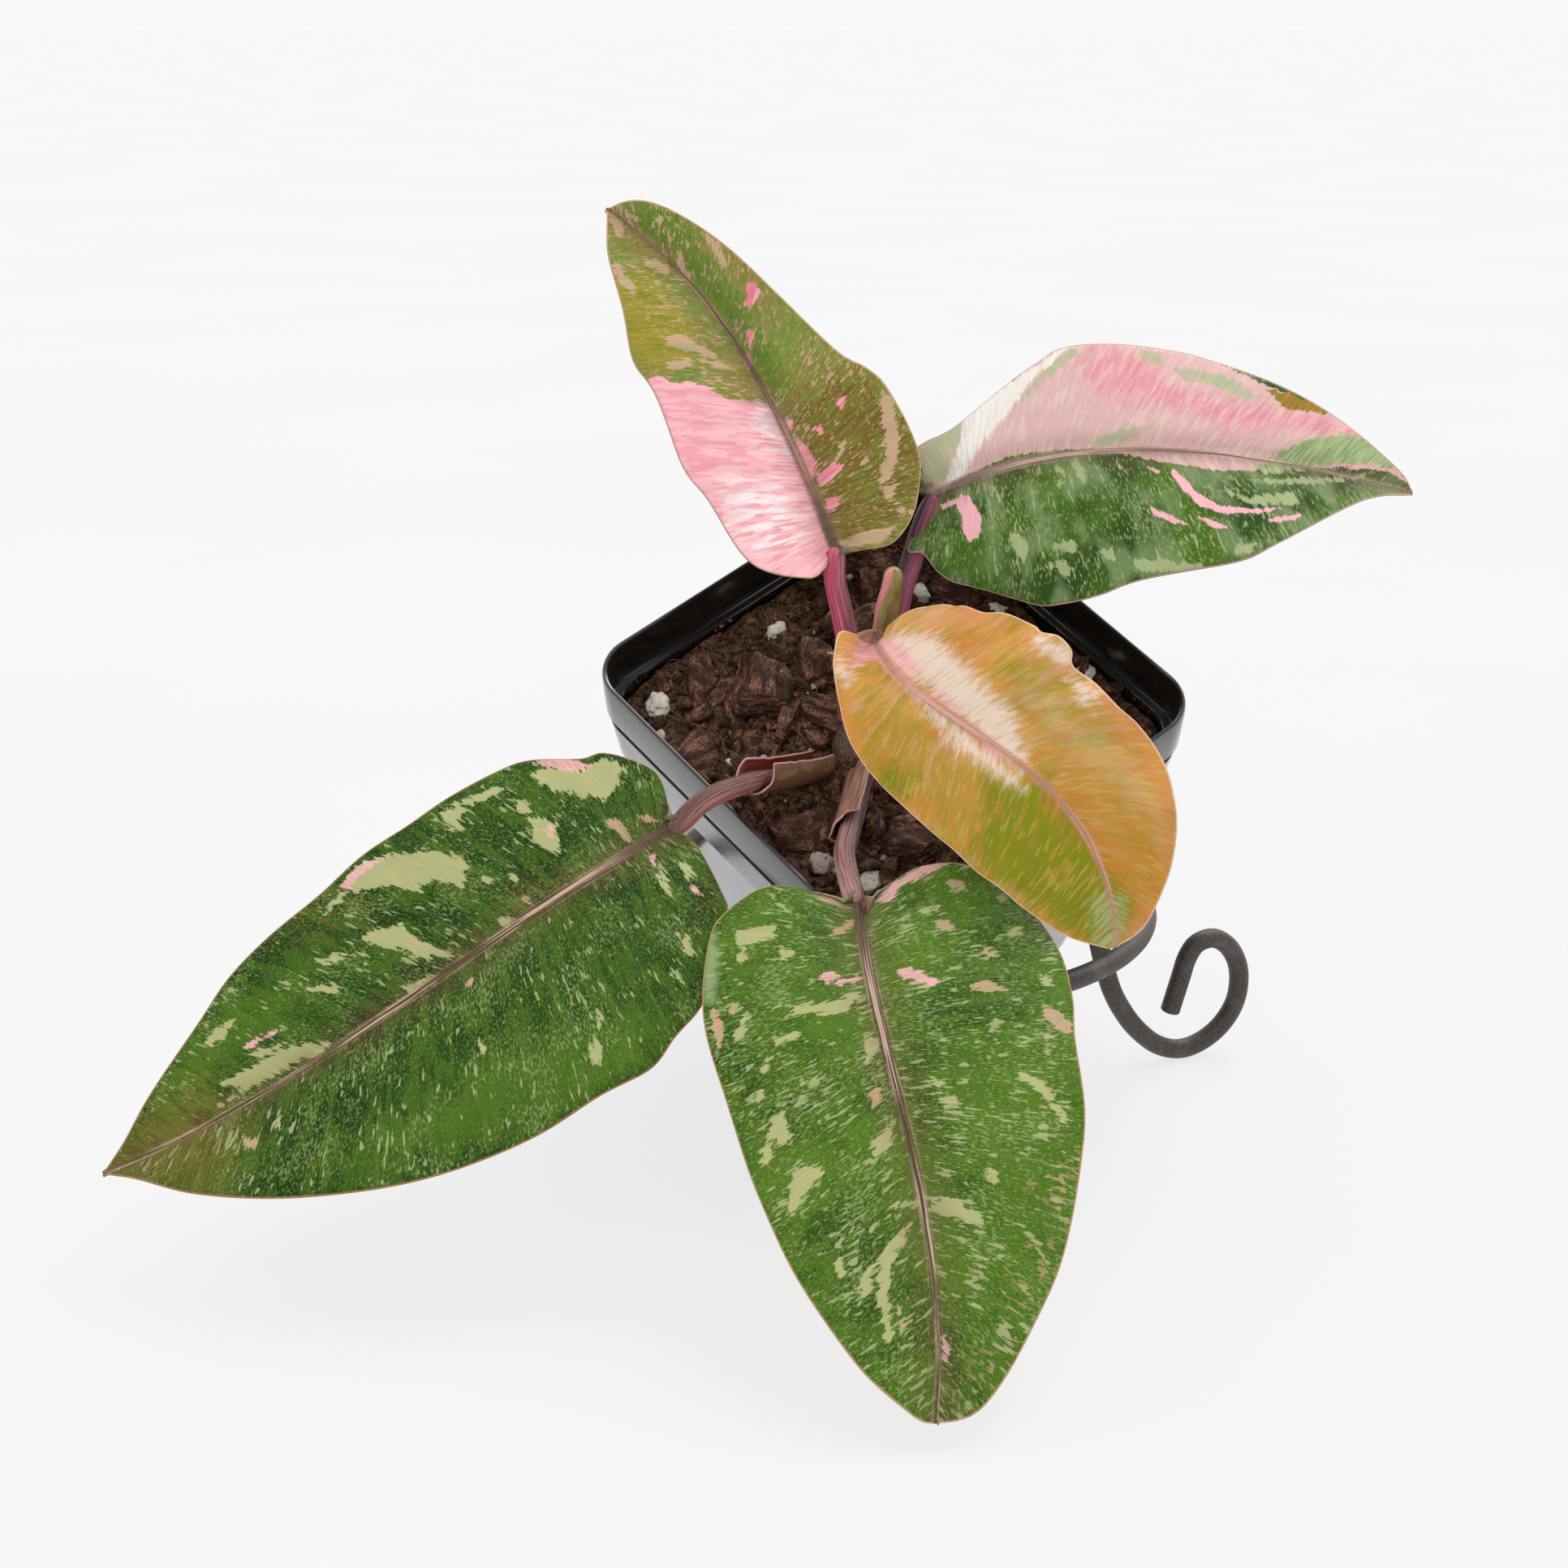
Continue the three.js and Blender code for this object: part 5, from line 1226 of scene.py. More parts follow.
def broken_chip(draw, half, level):
    """A chip of bark broken off along flat faces, with layers that end in ledges round it."""
    directions, faces = BALLS[level]
    sides = np.vstack([np.eye(3), -np.eye(3)]) + 0.3 * draw.normal(0, 1, (6, 3))
    corners = draw.normal(0, 1, (9, 3)) * np.array([1, 1, 0.5])
    planes = unit(np.vstack([sides, corners]))
    depths = np.concatenate([draw.uniform(0.78, 0.98, 6), draw.uniform(0.86, 1.12, 9)])
    facing = np.maximum(directions @ planes.T, 1e-3)
    body = directions * np.min(depths / facing, axis=1)[:, None] * half
    place = body + 100 * draw.random(3)
    step = 0.3 + 0.09 * half.min()
    level_of = body[:, 2] / step + 0.9 * grain(place, 5, 3)
    shelf = level_of - np.floor(level_of)
    outward = directions * np.array([1, 1, 0.2])
    rough = 0.13 * half.min()
    body = body + outward * (rough * (shelf - 0.5))[:, None]
    body = body + directions * (rough * 0.9 * grain(place, 2.8, 1))[:, None]
    fibres = place * np.array([0.22, 1, 1])
    body = body + directions * (rough * 0.7 * grain(fibres, 0.7, 4))[:, None]
    return body, faces, place


def build_bark():
    """The chips of the solids, then small bits, 2 to 9 mm long, between them."""
    skin = pine_bark()
    draw = np.random.default_rng(41)
    for number, (x, y, length, width, height, turn) in enumerate(BARK_CHIPS, 1):
        body, faces, place = broken_chip(draw, np.array([length, width, height]) / 2, 5)
        lean = np.array([[1, 0, 0.12 * draw.normal()], [0, 1, 0.12 * draw.normal()], [0, 0, 1]])
        centre = np.array([x, y, soil_height(x, y) + 0.12 * height])
        points = from_pot(turned(body @ lean, math.radians(turn)) + centre)
        made, name = f"pine_bark_{number:02d}", f"bark_chip_{number:02d}"
        piece(made, points, faces, skin, [name], {"chip_place": place})
    parts = []
    for _ in range(sizes().bark_bits):
        x, y = draw.uniform(-44.5, 44.5, 2)
        long_, thin = 2.2 + 7 * draw.random() ** 2, draw.uniform(0.3, 0.7)
        half = np.array([long_, long_ * thin, 1.2 + long_ * 0.25]) / 2
        lean = np.array([[1, 0, 0.7 * draw.normal()], [0, 1, 0.3 * draw.normal()], [0, 0, 1]])
        turn = FULL_TURN * draw.random()
        body, faces, place = broken_chip(draw, half, 3 if long_ > 3.5 else 2)
        if not lies_free(x, y, 80):
            continue
        centre = np.array([x, y, soil_height(x, y) + 0.9])
        parts.append((turned(body @ lean, turn) + centre, faces, {"chip_place": place}))
    scatter("pine_bark_bits", parts, skin)


# Perlite
def expanded_perlite():
    # Volcanic glass popped like corn: chalk white and full of tiny pits that hold peat.
    skin, tree = new_skin(
        "perlite_expanded", Roughness=0.9, Subsurface_Weight=0.15, Subsurface_Scale=0.001
    )
    place = millimetres(tree)
    pits = mottle(tree, place, (0.7, 0.7, 0.7), 1, 4, 0.7)
    stain = mottle(tree, place, (3, 3, 3), 2)
    share = add(tree, "MapRange", {0: stain, 1: 0.62, 2: 0.4, 3: 1.0, 4: 0.35}, **SMOOTHLY)
    base = laid(tree, tint("perlite"), tint("perlite_shade"), pits, 0.5, 0.3, share)
    base = laid_by_mark(tree, base, tint("fibre"), "soiled")
    dress(tree, base, pits, 0.35)
    return skin


def popped_grain(size, number, level):
    """A lumpy ball of perlite, different for each number."""
    directions, faces = BALLS[level]
    body = directions * np.array([1, 0.88, 0.8]) * size / 2
    lumps = 1 + 0.3 * grain(directions, 0.7, number)
    lumps += 0.13 * grain(directions, 0.28, number + 7)
    body *= lumps[:, None]
    return turned(body, 0.7 * number), faces


def build_perlite():
    """The grains of the solids, then small bits, 0.6 to 3 mm wide, between them."""
    skin = expanded_perlite()
    for number, (x, y, size) in enumerate(PERLITE_GRAINS):
        body, faces = popped_grain(size, number, 5)
        centre = np.array([x, y, soil_height(x, y) + 0.15 * size])
        # The mix has stained the last grain
        soiled = np.full(len(body), 0.55 if number == len(PERLITE_GRAINS) - 1 else 0.0)
        piece(
            f"perlite_grain_{number + 1:02d}", from_pot(body + centre), faces, skin,
            [f"perlite_{number + 1:02d}"], {"soiled": soiled},
        )
    draw = np.random.default_rng(3)
    parts = []
    for number in range(PERLITE_BITS):
        x, y = draw.uniform(-45, 45, 2)
        size = 0.6 + 2.2 * draw.random() ** 3
        if not lies_free(x, y, 84):
            continue
        body, faces = popped_grain(size, number + 40, 3 if size > 1.4 else 2)
        centre = np.array([x, y, soil_height(x, y) + 0.7 + 0.2 * size])
        parts.append((body + centre, faces, {"soiled": np.full(len(body), 0.5 * draw.random())}))
    scatter("perlite_bits", parts, skin)


# Stem and stalks
def epidermis(name, low, high, side):
    # The skin of a fleshy stalk: smooth, waxed and satin, with fine stripes along it and one
    # flushed side. A stripe is about 0.5 mm wide.
    skin, tree = new_skin(
        name, Roughness=0.42, IOR=1.4, Specular_IOR_Level=0.3, Subsurface_Weight=0.1,
        Subsurface_Scale=0.002, Coat_Weight=0.06, Coat_Roughness=0.3,
    )
    place = add(tree, "Attribute", {}, "Vector", attribute_name="rod_place")
    stripes = mottle(tree, place, (0.4, 0.4, 26), 1, 4, 0.65)
    blotches = mottle(tree, place, (2.2, 2.2, 9), 2)
    pale = mottle(tree, place, (0.32, 0.32, 30), 6, 4, 0.65)
    flushed = add(tree, "Attribute", {}, "Fac", attribute_name="flushed")
    base = laid(tree, low, high, add(tree, "Math", {0: flushed, 1: stripes}), 0.75, 1.3)
    base = laid(tree, base, tint("stalk_dark"), stripes, 0.5, 0.58, 0.75)
    base = laid(tree, base, side, blotches, 0.55, 0.75, 0.28)
    base = laid(tree, base, side, pale, 0.52, 0.6, 0.7)
    dress(tree, base, stripes, 0.12)
    return skin


# Each stalk's slot, the way that its flushed side looks, and its tones away from that side, on
# it and in the pale blotches
STALKS = {
    "a": ("stalk_pink", (-1, -0.2, 0), "#8F5663", "#D14F6C", "#E08A98"),
    "b": ("stalk_dark", (1, -0.1, 0), "#4E343B", "#B04F70", "#94747A"),
    "c": ("stalk_pink", (0.3, -1, 0.4), "#D98A90", "#F2B0B4", "#F5CFCB"),
    "d": ("stalk_mauve", (0, -0.3, -1), "#6C4A42", "#A4625E", "#BA9084"),
    "e": ("stalk_mauve", (-1, -0.3, 0.2), "#735452", "#B4827E", "#BFA29E"),
}


def build_stalks():
    for key, leaf in LEAVES.items():
        slot, toward, *tones = STALKS[key]
        line, radii = bend(leaf["stalk"]), leaf["stalk_radii"]
        points, faces, marks = tube(line, radii, STALK_SIDES, 0.9, 0, 0.5)
        rings = points.reshape(-1, STALK_SIDES, 3)
        middle = rings.mean(axis=1, keepdims=True)
        outward = unit(rings - middle).reshape(-1, 3)
        # The stalk thins into the midrib at its end
        run = np.linspace(0, 1, len(rings))[:, None, None]
        points = (middle + (rings - middle) * (1 - 0.45 * ease(run, 0.86, 1))).reshape(-1, 3)
        marks["flushed"] = 0.5 + 0.5 * outward @ unit(np.array(toward, float))
        skin = epidermis(f"leaf_stalk_epidermis_{key}", *map(linear, tones))
        piece(f"leaf_stalk_{key}", points, faces, skin, [f"petiole_{key}"], marks)


def build_crown():
    x, y = CROWN_PLACE
    angles = np.linspace(0, 2 * math.pi, CROWN_SIDES, endpoint=False)
    rings = []
    for radius, height in CROWN_PROFILE:
        reach = radius * (1 + 0.05 * np.sin(3 * angles + height * 0.2))
        level = np.full(CROWN_SIDES, height)
        ring = [x + reach * np.cos(angles), y + reach * np.sin(angles), level]
        rings.append(np.column_stack(ring))
    points, faces = np.vstack(rings), capped_rings(len(rings), CROWN_SIDES)
    marks = {"rod_place": points, "flushed": np.clip(0.3 + 0.05 * (points[:, 2] + 12), 0, 1)}
    skin = epidermis("stem_epidermis", tint("crown"), linear("#9A5E58"), linear("#A08A62"))
    piece("stem_base", from_pot(points), faces, skin, ["stem_crown"], marks)


def papery_sheath(name, outside):
    # The sheath of a leaf stalk: thin and half dry, olive-brown and finely lined outside, wine
    # red inside, with a pale rim that has lost its colour.
    skin, tree = new_skin(
        name, Roughness=0.42, IOR=1.4, Subsurface_Weight=0.15, Subsurface_Scale=0.0015,
    )
    place = add(tree, "Attribute", {}, "Vector", attribute_name="rod_place")
    lines = mottle(tree, place, (0.5, 0.5, 14), 1, 4)
    blotch = mottle(tree, place, (2, 2, 5), 2)
    outer = laid(tree, outside, linear("#7A5340"), lines, 0.3, 0.7)
    outer = laid(tree, outer, linear("#C79A86"), blotch, 0.5, 0.7, 0.4)
    inner = laid(tree, tint("sheath_in"), linear("#8C4436"), lines, 0.35, 0.7)
    base = laid_by_mark(tree, outer, inner, "inside")
    edge = add(tree, "Attribute", {}, "Fac", attribute_name="from_edge")
    edge = add(tree, "Math", {0: lines, 1: 0.5, 2: edge}, operation="MULTIPLY_ADD")
    base = laid(tree, base, tint("sheath_edge"), edge, 0.72, 0.4)
    dress(tree, base, lines, 0.15)
    return skin


def build_sheaths():
    steps, slices = 70, 49
    t, fan = np.linspace(0, 1, steps), np.linspace(-1, 1, slices)
    for key, sheath in SHEATHS.items():
        line = bend(LEAVES[key]["stalk"])
        low, high = sheath["stretch"]
        shares = low + (high - low) * t
        heading, centre = line.heading(shares), line.at(shares)
        centre[:, 2] += sheath["lift"]
        side = np.asarray(sheath["side"], float)
        front = unit(side - heading * (heading @ side)[:, None])
        across = np.cross(heading, front)
        spread = math.radians(sheath["spread"]) * (1 - 0.4 * ease(t, 0.9, 1)[:, None])
        ragged = 1 + 0.02 * grain(np.column_stack([t * 14, t * 0]), 1, 5)[:, None]
        angle = spread * ragged * fan
        flare = np.abs(fan) ** 4 * (0.25 + 0.8 * t[:, None])
        wave = 0.1 * np.abs(fan) ** 3 * np.sin(11 * t[:, None] + 2 * np.sign(fan))
        radius = sheath["radius"] + 0.4 * t[:, None] + flare + wave
        arc = np.cos(angle)[..., None] * front[:, None] + np.sin(angle)[..., None] * across[:, None]
        outer = centre[:, None] + radius[..., None] * arc
        outer += heading[:, None] * (0.5 * ease(t, 0.9, 1) * line.length * 0.01)[:, None, None]
        thin = 0.5 - 0.25 * ease(np.abs(fan), 0.8, 1)
        inner = outer - arc * thin[:, None]
        points = np.vstack([outer.reshape(-1, 3), inner.reshape(-1, 3)])
        run = shares * line.length
        from_side = (1 - np.abs(fan)) * spread * radius
        from_end = ((1 - t) * (high - low) * line.length)[:, None]
        from_edge = np.minimum(from_side, from_end).ravel()
        run = np.broadcast_to(run[:, None], angle.shape)
        place = np.stack([angle * sheath["radius"], np.zeros_like(angle), run], axis=-1)
        place = place.reshape(-1, 3)
        marks = {
            "rod_place": np.vstack([place, place]),
            "inside": np.repeat([0.0, 1.0], steps * slices),
            "from_edge": np.concatenate([from_edge, from_edge]),
        }
        skin = papery_sheath(f"leaf_sheath_papery_{key}", linear(sheath["tone"]))
        name, faces = f"stalk_sheath_{key}", thin_shell(steps, slices)
        piece(name, points, faces, skin, [f"sheath_{key}"], marks)


# The rolled young leaf
def young_cuticle():
    # A leaf still rolled up: soft, waxed and shiny, olive with a cream edge that winds round.
    skin, tree = new_skin(
        "young_leaf_cuticle_waxed", Roughness=0.33, IOR=1.4, Subsurface_Weight=0.15,
        Subsurface_Scale=0.002, Coat_Weight=0.15, Coat_Roughness=0.25,
    )
    place = add(tree, "Attribute", {}, "Vector", attribute_name="rod_place")
    edge = add(tree, "Attribute", {}, "Fac", attribute_name="from_edge")
    lines = mottle(tree, place, (0.5, 0.5, 10), 1, 4)
    blotch = mottle(tree, place, (1.8, 1.8, 6), 2)
    base = laid(tree, tint("young"), linear("#9A8E4C"), lines, 0.35, 0.65)
    base = laid(tree, base, tint("brown"), blotch, 0.45, 0.6, 0.6)
    base = laid(tree, base, tint("rose"), edge, 2.6, 1.9, 0.8)
    base = laid(tree, base, tint("cream"), add(tree, "Math", {0: edge, 1: lines}), 1.25, 0.75)
    dress(tree, base, lines, 0.12)
    return skin


def past_free_edge(angles, share):
    """How far round the roll each angle is from the free edge, which winds up the leaf."""
    start = math.pi * 1.05 + 1.3 * share + 0.25 * np.sin(14 * share)
    return np.mod(angles - start, 2 * math.pi)


def build_new_leaf():
    def roll(angles, share):
        turn = past_free_edge(angles, share) / (2 * math.pi)
        return (1.12 - 0.2 * turn) * (0.86 + 0.14 * ease(turn, 0, 0.05))

    line = bend(NEW_LEAF["path"])
    points, faces, marks = tube(line, NEW_LEAF["radii"], ROLL_SIDES, 0.5, 0, 1.1, roll)
    angles = np.linspace(0, 2 * math.pi, ROLL_SIDES, endpoint=False)
    share = marks["rod_place"].reshape(-1, ROLL_SIDES, 3)[:, :1, 2] / line.length
    marks["from_edge"] = (past_free_edge(angles, share) * 2.4).ravel()
    piece("rolled_young_leaf", points, faces, young_cuticle(), ["new_leaf"], marks)


# Leaf blades: steps along each half and out to its edge, the half width of the midrib at the
# stalk in millimetres, and the side veins of one half
BLADE_ROWS = 150
BLADE_SPREAD = 44
RIB_WIDE = 1.3
SIDE_VEINS = 17


def blade_surface(leaf):
    """The top face of a blade: its points, its normals and where each point is on the leaf."""
    midrib = cubic(leaf["midrib"])
    length = midrib.length
    face_low, face_high = (np.asarray(leaf[end], float) for end in ("face_at_stalk", "face_at_tip"))
    fold = math.radians(leaf["fold"])
    s = np.linspace(0, 1, BLADE_ROWS + 1)
    height, waves = leaf["wave"]
    root = length * s**1.6
    halves = []
    for side, sign in (("left", -1), ("right", 1)):
        edge = outline_curve(leaf[side])
        margin = edge.at(s)
        reach = np.maximum(margin[:, 1], 0.5)
        out = np.linspace(0, 1, BLADE_SPREAD + 1) ** 1.35
        along = root[:, None] * (1 - out) + margin[:, :1] * out
        away = reach[:, None] * out
        phase = 2 * math.pi * waves * s + (1 if sign > 0 else 0)
        lift = height * out**2 * (np.sin(phase) * np.sin(math.pi * s))[:, None]
        share_along = np.clip(along / length, 0, 1)
        taper = 1 - 0.8 * share_along
        width = 0.6 + 1.0 * (1 - share_along)
        lift = lift + sizes().midrib_height * taper * np.exp(-((away / width) ** 2))
        lift = lift - 0.22 * taper * np.exp(-(((away - 2.2 * width) / width) ** 2))
        ribs = np.sin(2 * math.pi * SIDE_VEINS * s + 1.5 * sign)[:, None]
        lift = lift + sizes().vein_height * ribs * ease(out, 0.05, 0.3) * ease(1 - out, 0.02, 0.4)
        tangent = midrib.heading(share_along)
        spot = midrib.at(share_along) + tangent * (along - share_along * length)[..., None]
        normal = face_low + (face_high - face_low) * share_along[..., None]
        normal = unit(normal - tangent * np.sum(normal * tangent, axis=-1, keepdims=True))
        sideways = np.cross(tangent, normal)
        rise = away * math.sin(fold) - leaf["curl"] * away**2 + lift
        point = spot + sideways * (sign * away * math.cos(fold))[..., None]
        point += normal * rise[..., None]
        place = np.stack([along, sign * away, np.zeros_like(away)], axis=-1)
        # Noise on the right half starts elsewhere, so that the halves differ
        run = np.hypot(along - root[:, None], away)
        across = s[:, None] * edge.length + 0 * run
        vein = np.stack([across, run + 300 * (sign > 0), 0 * run], axis=-1)
        halves.append((point, place, vein, reach[:, None] * (1 - out)))
    points, places, veins, edges = (
        np.concatenate([left[:, ::-1], right[:, 1:]], axis=1) for left, right in zip(*halves)
    )
    down, sideways = np.gradient(points, axis=0), np.gradient(points, axis=1)
    normals = unit(np.cross(down, sideways))
    if np.mean(normals @ (face_low + face_high)) < 0:
        normals = -normals
    return points, normals, places, veins, edges, length


def inside_outline(places, outline):
    """Distance in millimetres into a drawn outline, negative outside it."""
    corners = np.array([point.split(",") for point in outline.split()], float)
    x, y = places[..., 0], places[..., 1]
    nearest = np.full(x.shape, 1e9)
    inside = np.zeros(x.shape, bool)
    for (ax, ay), (bx, by) in zip(corners, np.roll(corners, -1, axis=0)):
        dx, dy = bx - ax, by - ay
        share = np.clip(((x - ax) * dx + (y - ay) * dy) / (dx * dx + dy * dy + 1e-9), 0, 1)
        nearest = np.minimum(nearest, np.hypot(x - ax - share * dx, y - ay - share * dy))
        crosses = ((ay > y) != (by > y)) & (x < (bx - ax) * (y - ay) / (by - ay + 1e-12) + ax)
        inside ^= crosses
    return np.where(inside, nearest, -nearest)


def build_blades():
    for key, leaf in LEAVES.items():
        points, normals, place, vein, edge, length = blade_surface(leaf)
        rows, columns = points.shape[:2]
        away = np.abs(place[..., 1])
        share = np.clip(place[..., 0] / length, 0, 1)
        thick = sizes().blade_thickness * (0.55 + 0.45 * ease(edge, 0, 1.5))
        rib = (1.9 * (1 - share) + 0.2) * np.exp(-((away / (0.6 + 1.5 * (1 - share))) ** 2))
        below = points - normals * (thick + rib + sizes().midrib_height * (1 - 0.8 * share)
                                    * np.exp(-((away / 1.6) ** 2)))[..., None]
        start = rows * columns

        def both(values):
            """Values of the top face, repeated for the face below it."""
            return np.concatenate([values.reshape(start, -1)] * 2).squeeze()

        marks = {
            "leaf_place": both(place),
            "vein_place": both(vein),
            "from_edge": both(edge),
            "in_midrib": both(RIB_WIDE * (1 - 0.75 * share) - away),
            "beneath": np.repeat([0.0, 1.0], start),
        }
        for name, outlines in PATCHES[key].items():
            depth = np.full(place.shape[:2], -1e3)
            for outline in outlines:
                depth = np.maximum(depth, inside_outline(place, outline))
            marks[f"patch_{name}"] = both(np.clip(depth, -12, 12))
        points = np.concatenate([points.reshape(-1, 3), below.reshape(-1, 3)])
        name, faces, skin = f"leaf_blade_{key}", thin_shell(rows, columns), leaf_cuticle(key, leaf)
        piece(name, points, faces, skin, [f"blade_{key}"], marks)


def leaf_cuticle(key, leaf):
    # A living leaf: a thin waxed cuticle over cells, so the colour is deep and the shine broad
    # and satin. Green cells are missing in patches, which show beige, pink or white, and stray
    # pale cells draw specks and streaks 0.3 to 1 mm wide along the side veins.
    skin, tree = new_skin(
        f"leaf_cuticle_waxed_{key}", IOR=1.42, Specular_IOR_Level=0.11, Coat_Weight=0.02,
        Coat_Roughness=0.25,
    )
    vein = add(tree, "Attribute", {}, "Vector", attribute_name="vein_place")
    spot = add(tree, "Attribute", {}, "Vector", attribute_name="leaf_place")
    in_midrib = add(tree, "Attribute", {}, "Fac", attribute_name="in_midrib")
    broad = mottle(tree, spot, (26, 20, 1), 1)
    cells = mottle(tree, vein, (1.1, 3.2, 1), 2, 5, 0.65)
    fray = mottle(tree, vein, (1.5, 5, 1), 3, 5, 0.7)
    fray = add(tree, "MapRange", {0: fray, 1: 0.32, 2: 0.68, 3: -1.0, 4: 1.0}, clamp=False)
    streaks = mottle(tree, vein, (0.7, 9, 1), 4, 5, 0.65)
    ground, second, fleck, strong = GROUND[key]
    base = laid(tree, tint(ground), tint(second), broad, 0.35, 0.65)
    base = laid(tree, base, tint(fleck), cells, 0.35, 0.7, strong)
    for number, coat in enumerate(COATS[key]):
        share = coat.get("share", 1.0)
        if "specks" in coat:
            level, wide, long_ = coat["specks"]
            crowding = coat.get("crowd", 0.25)
            crowd = mottle(tree, spot, (14, 11, 1), 21 + number, 2)
            specks = mottle(tree, vein, (wide, long_, 1), 11 + number, 2, 0.5)
            specks = add(tree, "Math", {0: crowd, 1: crowding, 2: specks}, operation="MULTIPLY_ADD")
            low = level + crowding / 2
            high = low + coat.get("blend", 0.035)
            share = add(tree, "MapRange", {0: specks, 1: low, 2: high, 4: share}, **SMOOTHLY)
        if "fills" in coat:
            depth = add(tree, "Attribute", {}, "Fac", attribute_name="patch_" + coat["fills"])
            wander = {0: fray, 1: coat.get("fray", 1.2), 2: depth}
            depth = add(tree, "Math", wander, operation="MULTIPLY_ADD")
            soft = coat.get("soft", 0.12)
            share = add(tree, "MapRange", {0: depth, 1: -soft, 2: soft, 4: share}, **SMOOTHLY)
        top = tint(coat["tone"])
        if "streak" in coat:
            low, high = coat.get("streaky", (0.42, 0.64))
            top = laid(tree, top, tint(coat["streak"]), streaks, low, high)
        base = add(tree, "Mix", {0: share, 6: base, 7: top}, 2, data_type="RGBA")
    # A thin line in the groove of each side vein
    period = 2 * math.pi * SIDE_VEINS / outline_curve(leaf["left"]).length
    across = add(tree, "SeparateXYZ", {0: vein})
    wave = add(tree, "Math", {0: across, 1: period}, operation="MULTIPLY")
    wave = add(tree, "Math", {0: wave}, operation="SINE")
    base = laid(tree, base, tint("midrib" if key == "c" else "speckle"), wave, 0.9, 1.0, 0.05)
    rib = add(tree, "Math", {0: fray, 1: 0.14, 2: in_midrib}, operation="MULTIPLY_ADD")
    thread = mottle(tree, spot, (26, 0.6, 1), 5)
    rib_light, rib_dark, margin = map(linear, MIDRIBS[key])
    rib_tone = laid(tree, rib_light, rib_dark, thread, 0.42, 0.54)
    if key != "c":
        # A flush spreads from the midrib, which is dark near the stalk
        share = add(tree, "MapRange", {0: in_midrib, 1: -8, 2: 0.5, 4: 0.42}, **SMOOTHLY)
        base = laid(tree, base, tint("flush"), streaks, 0.3, 0.6, share)
        along = add(tree, "SeparateXYZ", {0: spot})
        share = add(tree, "MapRange", {0: thread, 1: 0.6, 2: 0.4}, **SMOOTHLY)
        rib_tone = laid(tree, rib_tone, tint("stalk_dark"), along, 24, 4, share)
    base = laid(tree, base, rib_tone, rib, -0.8, 0.8, 0.92)
    rim = add(tree, "Attribute", {}, "Fac", attribute_name="from_edge")
    rim = add(tree, "Math", {0: fray, 1: 0.1, 2: rim}, operation="MULTIPLY_ADD")
    base = laid(tree, base, margin, rim, 0.38, 0.14)
    under = laid(tree, tint("under"), tint("under_red"), broad, 0.3, 0.7)
    under = laid(tree, under, tint("midrib"), rib, -0.3, 0.35)
    base = laid_by_mark(tree, base, under, "beneath")
    height = add(tree, "Math", {0: streaks, 1: 0.8, 2: cells}, operation="MULTIPLY_ADD")
    height = add(tree, "Math", {0: wave, 1: -1.3, 2: height}, operation="MULTIPLY_ADD")
    rough = add(tree, "MapRange", {0: cells, 1: 0.2, 2: 0.8, 3: 0.34, 4: 0.5}, **SMOOTHLY)
    dress(tree, base, height, 0.09, rough)
    return skin


# Stand
def wrought_iron():
    # Bent steel wire with a textured powder coat, sold as wrought iron: charcoal brown, half
    # matt, with a grain of about 0.5 mm that breaks the light into dots.
    skin, tree = new_skin(
        "wrought_iron_powder_coated", Metallic=0.35, Coat_Weight=0.15, Coat_Roughness=0.4
    )
    place = millimetres(tree)
    pits = mottle(tree, place, (0.5, 0.5, 0.5), 1, 3, 0.6)
    worn = mottle(tree, place, (6, 6, 6), 2)
    base = laid(tree, tint("iron"), linear("#5E5450"), pits, 0.4, 0.7)
    base = laid(tree, base, linear("#6A625D"), worn, 0.5, 0.75, 0.5)
    rough = add(tree, "MapRange", {0: pits, 1: 0.3, 2: 0.7, 3: 0.42, 4: 0.62}, **SMOOTHLY)
    dress(tree, base, pits, 0.16, rough)
    return skin


def build_stand():
    skin = wrought_iron()
    radius = sizes().wire / 2
    around, sides = 220, 24
    turn = np.linspace(0, 2 * math.pi, around, endpoint=False)
    angles = np.linspace(0, 2 * math.pi, sides, endpoint=False)
    a, b = np.meshgrid(turn, angles, indexing="ij")
    reach = RING_RADIUS + radius * np.cos(b)
    height = RING_HEIGHT + radius * np.sin(b)
    points = np.stack([reach * np.cos(a), reach * np.sin(a), height], axis=-1)
    faces = grid_faces(around, sides, wrap=True)
    last = (around - 1) * sides
    faces += [[last + j, last + (j + 1) % sides, (j + 1) % sides, j] for j in range(sides)]
    piece("wire_ring", points.reshape(-1, 3), faces, skin, ["stand_ring"])
    line = bend([(out, 0, up) for out, up in SCROLL])
    rod, faces, _ = tube(line, [radius], 20, 1.2, 0.35)
    rod = turned(rod, LEG_PLANE) + np.array([*FOOT, 0])
    for side, angle in LEG_TURNS.items():
        leg = turned(rod, math.radians(angle))
        piece(f"wire_scroll_{side}", leg, faces, skin, [f"stand_leg_{side}"])


# Stage
CAMERA_PLACE = (-26.72, -556.86, 254.81)
CAMERA_TILT = math.radians(72)
CAMERA_LENS = 54.04
FLOOR_REACH = 60.0
# Each soft lamp: which way it is turned, its strength and how wide it looks, in degrees
LAMPS = {
    "key_sun_soft": ((-24, 26, 0), 1.55, 45),
    "front_sun_soft": ((46, -14, 0), 0.65, 60),
}


